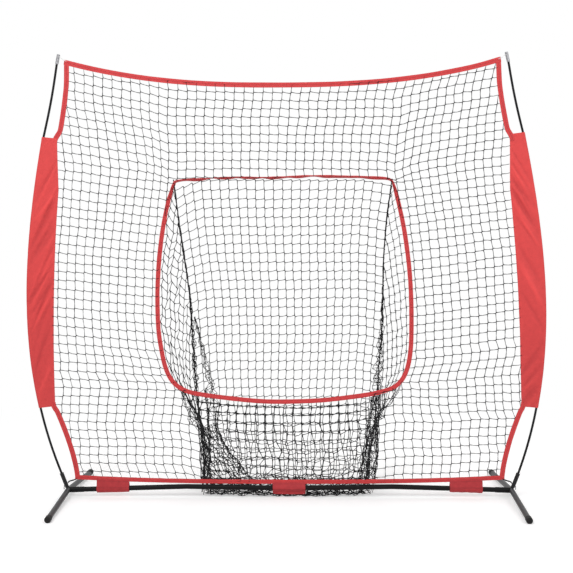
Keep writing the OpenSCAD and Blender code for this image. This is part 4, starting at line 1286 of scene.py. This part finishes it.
def column_place(column, z):
    """Distance of a column from the middle, by its number and height."""
    left = {n: np.interp(z, STATIONS, places) for n, places in COLUMNS_LEFT.items()}
    right = {n: np.interp(z, STATIONS, places) for n, places in COLUMNS_RIGHT.items()}
    between = lerp(left[12], right[12], (column + 12) / 24)
    outer = np.where(column > -22, lerp(left[15], left[22], (-column - 15) / 7),
                     left[22] + STEP_OUT * (column + 22))
    low = np.where(column > -15, lerp(left[12], left[15], (-column - 12) / 3), outer)
    outer = np.where(column < 22, lerp(right[16], right[22], (column - 16) / 6),
                     right[22] + STEP_OUT * (column - 22))
    high = np.where(column < 16, lerp(right[12], right[16], (column - 12) / 4), outer)
    return np.where(column < -12, low, np.where(column > 12, high, between))


def slip(row, x):
    """How far a row has slipped sideways."""
    numbers = FIRST_LOW_ROW + np.arange(len(SLIP_LEFT))
    low = lerp(np.interp(row, numbers, SLIP_LEFT), np.interp(row, numbers, SLIP_RIGHT),
               clamp((x + 300) / 600))
    high = 3.5 * clamp(1 - row / 14) * np.where(x < 0, np.sin(row * 1.12), np.cos(row * 1.5))
    return np.where(row > FIRST_LOW_ROW - 1, low, high)


def row_height(row, x):
    """Height of a row, by its number and distance from the middle."""
    far = np.abs(x)
    base = np.interp(row, ROWS, ROW_HEIGHT)
    rise = np.where(x < 0, np.interp(row, ROWS, RISE_LEFT), np.interp(row, ROWS, RISE_RIGHT))
    outer = base + rise * (np.maximum(far, 545) - 640)
    pinch = np.where(row < 12, 20 * np.exp(-np.abs(far - 560) / 50) * clamp(row / 8), 0)
    sag = 20 * (1 - clamp(far / 545) ** 2) * clamp(1 - row / 9) + 14 * clamp(row / 9)
    top_sag = np.where((row < 12) & (far < 545), sag, 0)
    low_sag = np.where(row > 34, 48 * (1 - clamp(far / 525) ** 2.3), 0)
    low_sag += np.where(x > 0, 7, 0) * clamp((row - 34) / 2) * np.exp(-((far - 740) / 110) ** 2)
    return outer - pinch - top_sag - low_sag


print("row 20 is at", float(row_height(20.0, -640.0)),
      "and column 22 at", float(column_place(22.0, 900.0)))

# %% [markdown]
# A knot's row gives its height, its column gives its place at that height, and the two are
# found together in a few rounds. A strand runs from tape to tape, so it is cut where it leaves
# the net, and it ends there in the middle of the tape that grips it.

# %% The flat net
def inside_net(x, z, margin=0.0):
    half = net_half(z) + np.where(x > 0, bow(1, z), 0) - margin
    return (np.abs(x) < half) & (z < top_z(x) - BAND / 2) & (z > bottom_z(x)) & ~in_zone(x, z)


def edge_between(within, outside):
    """Where the line from a knot inside to one outside leaves the net."""
    low, far = 0.0, 1.0
    for _ in range(10):
        mid = (low + far) / 2
        spot = within + (outside - within) * mid
        low, far = (mid, far) if inside_net(spot[0], spot[1]) else (low, mid)
    return within + (outside - within) * low


def chains(line, marks):
    """The runs of a row or column inside the net, each with its cut ends."""
    start = None
    for i in range(len(line) + 1):
        if i < len(line) and marks[i]:
            start = i if start is None else start
        elif start is not None:
            chain, tied = list(line[start:i]), [True] * (i - start)
            if start > 0:
                chain.insert(0, edge_between(line[start], line[start - 1]))
                tied.insert(0, False)
            if i < len(line):
                chain.append(edge_between(line[i - 1], line[i]))
                tied.append(False)
            if len(chain) > 1:
                yield chain, tied
            start = None


def billow(flat_points):
    """Points of the leaning plane with a faint swell."""
    flat_points = np.asarray(flat_points)
    points = plane(flat_points[:, 0], flat_points[:, 1])
    points[:, 1] = drift(flat_points, 320, 6) * 1.2
    return points


rng = np.random.default_rng(3)
column, row = np.meshgrid(np.arange(-29.0, 30.0), np.arange(0.0, 48.0), indexing="ij")
x = column * MESH
for _ in range(6):
    z = row_height(row, x)
    x = column_place(column, z)
spots = np.dstack([column * MESH, row * MESH])
x += slip(row, x)
x += drift(spots, 260, 1) * 2.0 + rng.normal(0, 1.0, x.shape)
z += drift(spots, 260, 2) * 2.0 + rng.normal(0, 1.0, z.shape)
knots = np.dstack([x, z])
within = inside_net(x, z, margin=10)

strands = []
for way, lines, marks in ((0, knots, within), (1, knots.transpose(1, 0, 2), within.T)):
    droop = np.array([0, 0, -1.0 * way])
    for line, marks_here in zip(lines, marks):
        for chain, tied in chains(line, marks_here):
            strands.append(strand(billow(chain), tied, droop, LEANS_RIGHT[way], rng))
flat_net = cords_from(strands, TWINE)
dress(flat_net, "knotted_net", black_twine, "black_twine",
      "net_top", "net_left", "net_right", "net_bottom")
print("flat net:", len(strands), "strands,", int(within.sum()), "knots,",
      len(flat_net.data.polygons), "faces")

# %% [markdown]
# The pocket is a bag of the same netting, laced from a back, two sides, a front below the zone
# and a floor. It hangs slack, so its rows droop towards the laced corners and its sides crumple.
# Each panel starts from the surface that its solid has, and seeded waves crumple it more and
# more towards the floor. A knot never goes below the height at which its twine lies on it.

# %% The pocket's surfaces
HEM_Z, KNOT_LIFT, STRAND_LIFT = 4.0, 7.0, 4.0
# The laced folds at the back: how far down, and how far out on either side.
FOLD_AT = [0, 0.13, 0.25, 0.37, 0.5, 0.61, 0.72, 0.84, 1]
FOLD_LEFT = [530, 517, 500, 484, 479, 477, 470, 454, 439]
FOLD_RIGHT = [518, 494, 482, 480, 475, 461, 450, 433, 392]
EYE_X, EYE_Z, EYE_FAR = 73.0, 1274.0, 5000.0
POCKET_DEEP, POCKET_FRONT = 347, 3


def depth(t):
    """How far back the pocket lies, from its top edge at 0 to its hem at 1."""
    return POCKET_FRONT + POCKET_DEEP * (1 - (1 - clamp(t)) ** 1.7)


def back_point(f, t):
    f, t = np.broadcast_arrays(f, np.asarray(t, float))
    left, right = -np.interp(t, FOLD_AT, FOLD_LEFT), np.interp(t, FOLD_AT, FOLD_RIGHT)
    z = lerp(ZONE_TOP, HEM_Z, t)
    return np.stack([lerp(left, right, (f + 1) / 2) + lean(z), depth(t), z], -1)


def front_edge(side, z):
    """The pocket's front edge: along the strike zone, then in to the floor."""
    low = side * lerp(388, 524, clamp((z - 300) / 225))
    return np.where(z > 530, zone_side(side, z), low)


def front_point(f, z):
    z = np.asarray(z, float)
    y = lerp(0.5, 21, clamp((ZONE_LOW - z) / (ZONE_LOW - 100)))
    x = lerp(front_edge(-1, z), front_edge(1, z), (f + 1) / 2)
    return np.stack(np.broadcast_arrays(x + lean(z), y, z), -1)


def crumple(grid, across, down, size, seed):
    """Adds smooth and knot-to-knot disorder, and keeps every knot above the floor."""
    rng = np.random.default_rng(seed)
    waves = np.stack([drift(grid, size, seed + k) for k in range(3)], -1)
    grid = grid + waves * across[..., None] + rng.normal(0, 1, grid.shape) * down[..., None]
    grid[..., 2] = np.maximum(grid[..., 2], KNOT_LIFT)
    return grid


def panel(strands, name, *nodes, radius=TWINE):
    made = cords_from(strands, radius)
    dress(made, name, black_twine, "black_twine", *nodes)
    print(name, len(strands), "strands,", len(made.data.polygons), "faces")


print("the pocket is", float(depth(1.0)), "mm deep at its hem")

# %% [markdown]
# The back falls away from the eye, so its rows, which look evenly spaced from the front, are
# further apart on the netting. Their places come from even steps in the front view.

# %% The pocket's back
BACK_FIRST, BACK_LAST, BACK_STEP = 1533, 92, 43.4
fine = np.linspace(0, 1, 400)
seen = EYE_Z + (lerp(ZONE_TOP, HEM_Z, fine) - EYE_Z) * EYE_FAR / (EYE_FAR + depth(fine))
t = np.append(np.interp(-np.arange(BACK_FIRST, BACK_LAST, -BACK_STEP), -seen, fine), 1.0)
F, T = np.meshgrid(np.linspace(-1, 1, 25), t, indexing="ij")
grid = back_point(F, T)
droop = np.where(F < 0, lerp(46, 24, clamp(T * 3)), 26)
grid[..., 2] -= droop * clamp((np.abs(F) - 0.72) / 0.28) ** 1.5
loose = 1.0 + 5.0 * clamp((T - 0.6) / 0.4) ** 1.5
grid = crumple(grid, loose * 1.8, loose * 0.9, 150, 50)
panel(strands_of(grid, (0, 0, -1.5), np.random.default_rng(4)), "pocket_net_back", "pocket_back")

# %% [markdown]
# A side of the pocket is a wedge of netting. Its columns run along the strike zone's tape, so the
# further back ones start from the laced fold, lower down. Its rows slope down to the fold.

# %% The pocket's sides
# For each side: its seed, its slack, and how far apart its knots are and how far they swing.
for side, word, seed, slack, pitch, swing in ((-1, "left", 60, 5, 34, 7),
                                              (1, "right", 70, 2.5, 46, 0)):
    rng = np.random.default_rng(seed)
    rows, columns, before = [], {}, None
    for z in np.arange(1500, 20, -43.5):
        near = front_point(side, z)
        away = 1 + depth((ZONE_TOP - z) / ZONE_TOP) / EYE_FAR
        fold_z = max(HEM_Z, EYE_Z + (z - 62 - EYE_Z) * away)
        far = back_point(side, clamp((ZONE_TOP - fold_z) / (ZONE_TOP - HEM_Z)))
        reach = np.linalg.norm(far - near)
        loose = slack + 7 * clamp((650 - z) / 300)
        row = [near]
        for k in range(1, int((reach - 12) / pitch) + 1):
            knot = lerp(near, far, pitch * k / reach)
            knot = knot + drift(knot[None], 60, seed + k)[0] * loose * np.array([0.7, 0.3, -0.9])
            knot[2] += (k % 2 * 2 - 1) * swing
            knot = knot + rng.normal(0, loose * 0.6, 3)
            knot[2] = max(knot[2], 5)
            columns.setdefault(k, [] if before is None else [before]).append(knot)
            row.append(knot)
        rows.append(row + [far])
        before = far
    made = []
    for way, lines in ((1, rows), (0, columns.values())):
        droop = np.array([0, 0, -3.0 * way])
        for line in lines:
            tied = [False] + [True] * (len(line) - 2) + [False]
            made.append(strand(line, tied, droop, LEANS_LEFT[way], rng))
    panel(made, f"pocket_net_{word}", f"pocket_{word}")

# %% [markdown]
# Below the zone, the front goes on with the flat net's own rows and columns. It hangs freely
# there, so it swings back, its columns crowd in to the hem, and it crumples more and more. The
# floor is a short panel between the two hems.

# %% The pocket's front and floor
HEM_DROPS = [44, 62, 76, 88, 98]
row_numbers = np.concatenate([np.arange(37.0, 46.0), np.full(len(HEM_DROPS), 45.0)])
drops = np.concatenate([np.zeros(9), HEM_DROPS])
C, R = np.meshgrid(np.arange(-9.0, 10.0), row_numbers, indexing="ij")
Z = row_height(R, C * 45) - np.broadcast_to(drops, C.shape)
Z -= 20 * clamp((395 - Z) / 130) * clamp((Z - 60) / 60)
hang = clamp((440 - Z) / 330)
X = column_place(C + 0.5 * clamp((370 - Z) / 170), Z)
X += slip(R, X)
edge = np.where(X < 0, -front_edge(-1, Z), front_edge(1, Z))
X = np.sign(X) * np.minimum(np.abs(X), edge)
grid = np.stack([X + lean(Z), lerp(POCKET_FRONT, 24, hang), np.maximum(Z, 8)], -1)
grid = crumple(grid, 1 + 12 * hang, 0.6 + 5 * hang ** 2, 70, 80)
grid[..., 1] = np.maximum(grid[..., 1], POCKET_FRONT)
panel(strands_of(grid, (0, 0, -3.0), np.random.default_rng(8)), "pocket_net_front",
      "pocket_front", radius=TWINE * 1.15)

F, V = np.meshgrid(np.linspace(-1, 1, 22), np.linspace(0.06, 1, 11), indexing="ij")
front = front_point(F, np.full_like(F, HEM_Z))
grid = front + (back_point(F, np.ones_like(F)) - front) * V[..., None]
grid[..., 2] += 5
grid = crumple(grid, np.full_like(F, 7.0), np.full_like(F, 4.0), 40, 90)
panel(strands_of(grid, (0, 0, -2.0), np.random.default_rng(9)), "pocket_net_floor",
      "pocket_floor")

# %% [markdown]
# Where the pocket's panels are laced together, and where its slack lies on the floor, the netting
# bunches. On the real net this draws dark lines down from the zone's upper corners, which grow
# to thick folds near the floor. Each fold is a bundle of strands that wander along its path and
# are tied across it at short steps, as the meshes of gathered netting are.

# %% A bundle of gathered strands
def bunched(path, columns, step, seed, flat=0.5):
    """Strands of gathered netting. A path row is x, y, z and half the fold's width there."""
    rng = np.random.default_rng(seed)
    path = np.asarray(path, float)
    spine = even(path, step)
    at = np.linspace(0, run_along(path[:, :3])[-1], len(spine))
    ahead = np.gradient(spine[:, :3], axis=0)
    ahead /= np.linalg.norm(ahead, axis=1)[:, None]
    across = np.cross(ahead, [0, 1, 0])
    across /= np.linalg.norm(across, axis=1)[:, None]
    grid = np.empty((columns, len(at), 3))
    for k in range(columns):
        phase, pace = rng.uniform(0, 6.28, 3), rng.uniform(0.6, 1.5, 3) / np.array([70, 130, 45])
        sway = (np.sin(at[:, None] * pace * 6.28 + phase) * [0.34, 0.3, 0.16]).sum(1)
        place = (2 * k / (columns - 1) - 1) * 0.7 + sway + rng.normal(0, 0.12, len(at))
        back = np.sin(at * pace[0] * 4 + phase[2]) * flat + rng.normal(0, 0.15, len(at))
        grid[k] = spine[:, :3] + across * (place * spine[:, 3])[:, None]
        grid[k, :, 1] += back * spine[:, 3]
    grid[..., 2] += rng.normal(0, step * 0.22, grid.shape[:2])
    grid[..., 2] = np.maximum(grid[..., 2], STRAND_LIFT)
    strands = [(line, np.ones(len(line))) for line in grid]
    for j in range(1, len(at) - 1):
        order = np.arange(columns)
        swap = rng.integers(0, columns, 2)
        order[swap] = order[swap[::-1]]
        strands.append((grid[order, j], np.full(columns, AT_END)))
    return strands


def fold_path(side, wide):
    """The laced fold along the pocket's back corner, with its half width at each height."""
    t = np.linspace(0.008, 0.985, 60)
    return np.column_stack([back_point(side, t) - [0, 4, 0], np.interp(t, FOLD_AT, wide)])


def behind(rows):
    """Turns x, depth and z as seen from the front into real places."""
    rows = np.array(rows, float)
    away = 1 + rows[:, 1] / EYE_FAR
    rows[:, 0] = EYE_X + (rows[:, 0] - EYE_X) * away
    rows[:, 2] = EYE_Z + (rows[:, 2] - EYE_Z) * away
    return rows


print("fold runs from", fold_path(1, [1] * 9)[0].round(), "to", fold_path(1, [1] * 9)[-1].round())

# %% [markdown]
# Both laced corners have a fold along them, with narrower ones beside it: one on the left and
# two on the right. Each list gives x, depth, z and half the width, from the top down.

# %% Folds along the pocket's back corners
left_second = [
    (-402, 300, 530, 5), (-397, 305, 470, 7), (-391, 312, 387, 6), (-394, 318, 340, 5),
    (-381, 320, 308, 6), (-389, 324, 270, 4.5), (-387, 327, 220, 5), (-382, 330, 188, 5),
    (-392, 332, 140, 5), (-401, 334, 94, 7)]
right_inner = [
    (413, 300, 500, 5), (403, 305, 470, 7), (395, 312, 397, 7), (383, 318, 338, 8),
    (377, 322, 280, 8), (373, 326, 236, 9), (355, 330, 192, 11), (348, 333, 134, 12),
    (350, 336, 88, 13)]
right_outer = [
    (440, 300, 530, 6), (438, 305, 426, 8), (427, 310, 382, 8), (424, 316, 309, 7),
    (427, 322, 227, 7), (425, 326, 192, 8), (415, 330, 148, 10), (404, 335, 88, 13)]
left_fold = fold_path(-1, [1.2, 1.5, 2, 4, 10, 12, 9, 7.5, 7])
right_fold = fold_path(1, [1.2, 1.5, 2, 4, 11, 22, 26, 28, 40])
# Each fold: its name, its path, its strands, its step, its seed and its twine's radius.
for name, path, count, step, seed, radius in (
    ("pocket_fold_left", left_fold, 4, 15, 101, 1.8),
    ("pocket_fold_left_second", behind(left_second), 4, 15, 103, 1.6),
    ("pocket_fold_right", right_fold, 6, 19, 111, 1.6),
    ("pocket_fold_right_inner", behind(right_inner), 4, 14, 113, 1.9),
    ("pocket_fold_right_outer", behind(right_outer), 4, 14, 115, 1.9),
):
    panel(bunched(path, count, step, seed), name, radius=radius)

# %% [markdown]
# At the left the pocket has netting to spare. A thick fold of it crosses the back, and below the
# fold slack meshes sag between it and the laced corner.

# %% Slack netting at the left
slack_fold = [
    (-455, 214, 877, 3), (-431, 245, 784, 9), (-400, 270, 646, 14), (-382, 285, 561, 18),
    (-358, 290, 464, 20), (-359, 295, 400, 18), (-360, 300, 355, 11), (-328, 308, 282, 8),
    (-296, 315, 229, 7), (-277, 320, 194, 7), (-249, 324, 175, 7), (-227, 328, 137, 7),
    (-201, 331, 99, 8)]
panel(bunched(behind(slack_fold), 5, 22, 121), "pocket_slack_left", radius=1.5)


def sagging(left, right, heights, gap, seed):
    """Slack netting between two lines. Its columns start on the right one, gap apart."""
    rng = np.random.default_rng(seed)
    left, right = (np.array(line, float)[::-1] for line in (left, right))
    rows, columns = [], {}
    for z in heights:
        a, b = ([np.interp(z, line[:, 2], line[:, k]) for k in (0, 1)] for line in (left, right))
        row = [np.array([b[0] - gap * k, b[1], z]) + rng.normal(0, [3.5, 5, 4])
               for k in range(int((b[0] - a[0] - 5) / gap) + 1)]
        for k, knot in enumerate(row):
            columns.setdefault(k, []).append(knot)
        rows.append([np.array([a[0], a[1], z])] + row[::-1])
    lines = [(1, line) for line in rows]
    lines += [(0, line) for line in columns.values() if len(line) > 1]
    return [strand(behind(line), [True] * len(line), np.array([0, 0, -2.0 * way]),
                   LEANS_LEFT[way] * 0.8, rng) for way, line in lines]


panel(sagging(left_second, slack_fold[6:], np.arange(345, 97, -21.5), 19, 123),
      "pocket_sag_left", radius=1.6)

# %% [markdown]
# The front panel's side edges and the hem on the floor are gathered too. Two lacing twines coil
# side by side down each back corner, from the strike zone to the floor, and close it.

# %% Gathered edges, hem and lacing
edge_left = [
    (-548, 4, 560, 3), (-520, 6, 510, 10), (-497, 9, 440, 14), (-484, 10, 400, 15),
    (-461, 12, 360, 14), (-438, 15, 325, 10), (-432, 18, 285, 7), (-430, 20, 200, 6),
    (-428, 22, 120, 6), (-420, 24, 14, 8)]
edge_right = [
    (540, 4, 552, 3), (519, 6, 500, 5), (503, 8, 472, 7), (490, 9, 452, 7), (468, 12, 440, 7),
    (448, 14, 428, 7), (438, 16, 380, 6), (434, 18, 300, 5), (430, 20, 200, 6),
    (418, 22, 100, 8), (400, 24, 14, 9)]
hem = [
    (-412, 44, 17, 10), (-330, 30, 16, 12), (-180, 14, 14, 11), (-100, 8, 12, 9),
    (-84, 6, 8.5, 5.5), (84, 6, 8.5, 5.5), (100, 8, 12, 9), (220, 14, 14, 11),
    (372, 36, 16, 12)]
panel(bunched(edge_left, 4, 19, 131), "pocket_edge_left", radius=1.35)
panel(bunched(edge_right, 3, 20, 141), "pocket_edge_right", radius=1.2)
panel(bunched(hem, 6, 14, 151, flat=1.3), "pocket_hem", radius=1.8)

LACING_R, LACING_COIL, LACING_TURNS = 1.3, 1.8, 420
for side, word in ((-1, "left"), (1, "right")):
    t = np.linspace(0.004, 0.99, 120)
    lacing = back_point(side, t) - [0, 5, 0]
    lacing[:, 0] += LACING_COIL * np.cos(t * LACING_TURNS)
    lacing[:, 1] += LACING_COIL * np.sin(t * LACING_TURNS)
    both = [(line, np.ones(len(t))) for line in (lacing, lacing[::-1] + [side * 2.5, 2, 0])]
    laced = cords_from(both, LACING_R, 6)
    dress(laced, f"pocket_lacing_{word}", black_twine, "black_twine")

# %% [markdown]
# Three cloth tabs hold the net's bottom edge to the crossbar. Each is one strip that goes down in
# front of the tube, is sewn to itself just below, ends in a short doubled tail and comes back up
# behind. The strip is drawn as a line in section, swept along the bar with a little
# waviness, and thickened with a Solidify modifier.

# %% Crossbar tabs
tab_look, tree, shader, cloth = cloth_look(
    "red_tab_with_seams", (0.30, 0.018, 0.023), (0.56, 0.041, 0.049), 1900, 0.9, 0.6, 0.08, 0.25)
sew(tree, shader, cloth, (0.262, 0.292, 0.06, 0.705, 0.735), (0.14, 0.014, 0.018), 0.8, 0.0006,
    Pitch=0.006, Width=0.005)

TAB_AT, TAB_HALF, TAB_R, TAB_CLOTH, TAB_STATIONS = 858.0, 79.0, 14.0, 1.3, 34
# The tail's section: how far in front of its middle it lies, and how far it hangs at most.
TAIL = ((-2.6, 3.8), (-1.5, 7.8), (-1.3, 12.8), (-1.2, 17.0))


def tab_section(high, hang):
    """The strip round the bar: from the net's edge down its front, the tail, and up its back."""
    front = [(-2.9, high), (-6.5, high * 0.62), (-11.5, high * 0.3), (-TAB_R, 3.0),
             (-TAB_R, -2.0)]
    under = [(-TAB_R * math.cos(a), -TAB_R * math.sin(a)) for a in np.radians((22, 40, 58))]
    half = front + under + [(y, -TAB_R - 0.2 - drop * hang) for y, drop in TAIL]
    return half + [(-y, z) for y, z in half[::-1]]


tabs = []
# Each tab: its place, its seed and the share of the tail that hangs free.
for middle, seed, hang in ((-TAB_AT, 1, 0.2), (0.0, 2, 0.87), (TAB_AT, 3, 0.2)):
    points, flats = [], []
    for x in middle + np.linspace(-TAB_HALF, TAB_HALF, TAB_STATIONS):
        base = bar_height(x)
        section = tab_section(float(bottom_z(x)) - 3 - base, hang)
        run = run_along(section)
        for (y, z), along_strip in zip(section, run / run[-1]):
            ripple = drift(np.array([[x, z * 1.5]]), 34, seed)[0]
            loose, lift = (1.0 if z < -20 else 0.35), (0.6 * ripple if z < -14.5 else 0)
            points.append((x, y + ripple * loose, base + z + lift))
            flats.append((x * MM, along_strip))
    m = len(section)
    faces = [(i * m + k, i * m + k + 1, (i + 1) * m + k + 1, (i + 1) * m + k)
             for i in range(TAB_STATIONS - 1) for k in range(m - 1)]
    tab = mesh_from(points, faces, flats)
    for vertex in tab.data.vertices:
        vertex.co.x += float(lean(0.0)) * MM
    bpy.context.view_layer.objects.active = tab
    thicken = tab.modifiers.new("cloth", "SOLIDIFY")
    thicken.thickness, thicken.offset = TAB_CLOTH * MM, 0
    bpy.ops.object.modifier_apply(modifier=thicken.name)
    face_outwards(tab)
    tabs.append(tab)
cloth_tabs = dress(join(tabs), "cloth_tabs", tab_look, "red_tab", "bar_tabs", angle=50)
print("tabs:", len(cloth_tabs.data.polygons), "faces")

# %% [markdown]
# At the top, a thin white cord goes from the net's corner round a groove in each pole's tip,
# and back. It stays a curve, so that its length can be measured.


def curve_cord(name, points, radius, material, node):
    """A cord that stays a curve of one open line, so that its length can be measured."""
    curve = bpy.data.curves.new(name, "CURVE")
    curve.dimensions = "3D"
    curve.bevel_depth = radius * MM
    curve.bevel_resolution = 3
    curve.use_fill_caps = True
    spline = curve.splines.new("POLY")
    spline.points.add(len(points) - 1)
    for spot, point in zip(spline.points, points):
        spot.co = (*(np.asarray(point) * MM), 1)
    cord = bpy.data.objects.new(name, curve)
    bpy.context.scene.collection.objects.link(cord)
    curve.materials.append(material)
    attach(cord, ROOT)
    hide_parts(node)
    return cord


GROOVE_DOWN, LOOP_R, LOOP_IN, CORD_R = 12, 7.5, 9.8, 1.1


def corner_loop(side, word):
    along = pole_point(side, POLE_TOP - ROD_END) - pole_point(side, tip_low)
    along /= np.linalg.norm(along)
    inward = np.array([-side * along[2], 0, side * along[0]])
    middle = pole_point(side, tip_low) + along * (TIP_LEN - GROOVE_DOWN)
    corner = np.array([side * (NET_TOP_X - 8) + lean(NET_TOP), 0, NET_TOP - 8])
    halfway = corner + (middle - corner) * 0.45
    beside = np.array([0, LOOP_R * 0.8, 0])
    path = [corner + np.array([0, -2.9, 0]), halfway + np.array([0, -4.2, -0.8]),
            middle + inward * LOOP_IN - beside]
    path += [middle + LOOP_R * (inward * math.cos(a) + np.array([0, math.sin(a), 0]))
             for a in np.radians(np.arange(-75, -286, -21))]
    path += [middle + inward * LOOP_IN + beside, halfway + np.array([0, 4.2, -0.8]),
             corner + np.array([0, 2.9, 0])]
    path = smooth_line(path, 4)
    loop = curve_cord(f"white_loop_{word}", path, CORD_R, white_cord,
                      f"corner_loop_{word}")
    return loop


print("a loop goes round a groove of", LOOP_R - CORD_R, "mm radius")

# %% [markdown]
# At the bottom, a bungee pulls each corner out to a wire hook that grips the socket from behind.
# The wire is a smooth line through the hook's points, so it bends as wire does, and it is
# crimped thick where it holds the bungee.

# %% Bungees and hooks
SOCKET_D, WIRE_D, HOOK_GAP, BUNGEE_R, BUNGEE_SAG = 19, 3.4, 0.3, 3.25, 1.6


def round_socket(side, degrees, height, r):
    """A point beside the leaning socket: its angle round it, height along it and radius."""
    a = math.radians(degrees)
    tilt = np.array([side * math.sin(SOCKET_LEAN), 0, math.cos(SOCKET_LEAN)])
    outer = np.array([side * math.cos(SOCKET_LEAN), 0, -math.sin(SOCKET_LEAN)])
    base = np.array([side * CORNER_X, 0, CORNER_Z])
    return base + tilt * height + r * (outer * math.cos(a) + np.array([0, math.sin(a), 0]))


def bungee_and_hook(side, word):
    r = SOCKET_D / 2 + WIRE_D / 2 + HOOK_GAP
    # The hook: its tail towards the net, half a turn round the socket, and its free end.
    turns = [(180, 37, r + 9), (176, 34, r + 3)]
    turns += [(a, lerp(24, 32, a / 180), r) for a in range(160, -1, -20)]
    turns += [(-6, 20, r + 1.4), (-8, 15, r + 4), (-8, 9, r + 5)]
    hook = [round_socket(side, *turn) for turn in turns]
    wire = smooth_line(hook, 5)
    crimp = 1 + 1.1 * clamp((6.5 - np.arange(len(wire))) / 1.5)
    made = cords_from([(wire, crimp)], WIRE_D / 2, 12)
    dress(made, f"wire_hook_{word}", black_zinc, "zinc_steel", f"corner_hook_{word}")

    start = np.array([side * 1032.0, 0, 90.0])
    end = hook[0] + (start - hook[0]) / np.linalg.norm(start - hook[0]) * 2.0
    path = np.array([start + (end - start) * t
                     + np.array([0, 0, -BUNGEE_SAG * math.sin(math.pi * t)])
                     for t in np.linspace(0, 1, 18)])
    bungee = curve_cord(f"bungee_cord_{word}", path, BUNGEE_R, bungee_braid,
                        f"bungee_{word}")
    return [made, bungee]


ties = []
for side, word in ((-1, "left"), (1, "right")):
    ties.append(corner_loop(side, word))
    ties += bungee_and_hook(side, word)
print("ties:", [t.name for t in ties])

# %% [markdown]
# The tapes are cut twice as wide as they look, because they are folded. The netting is open
# and goes with the tapes that bind it.

for name, (piece, length) in tapes.items():
    wide = 0.046 if name != "tape_bottom" else 0.040
print("cloth declared:", len(tapes) + 1 + len(sleeves) + 1, "pieces")
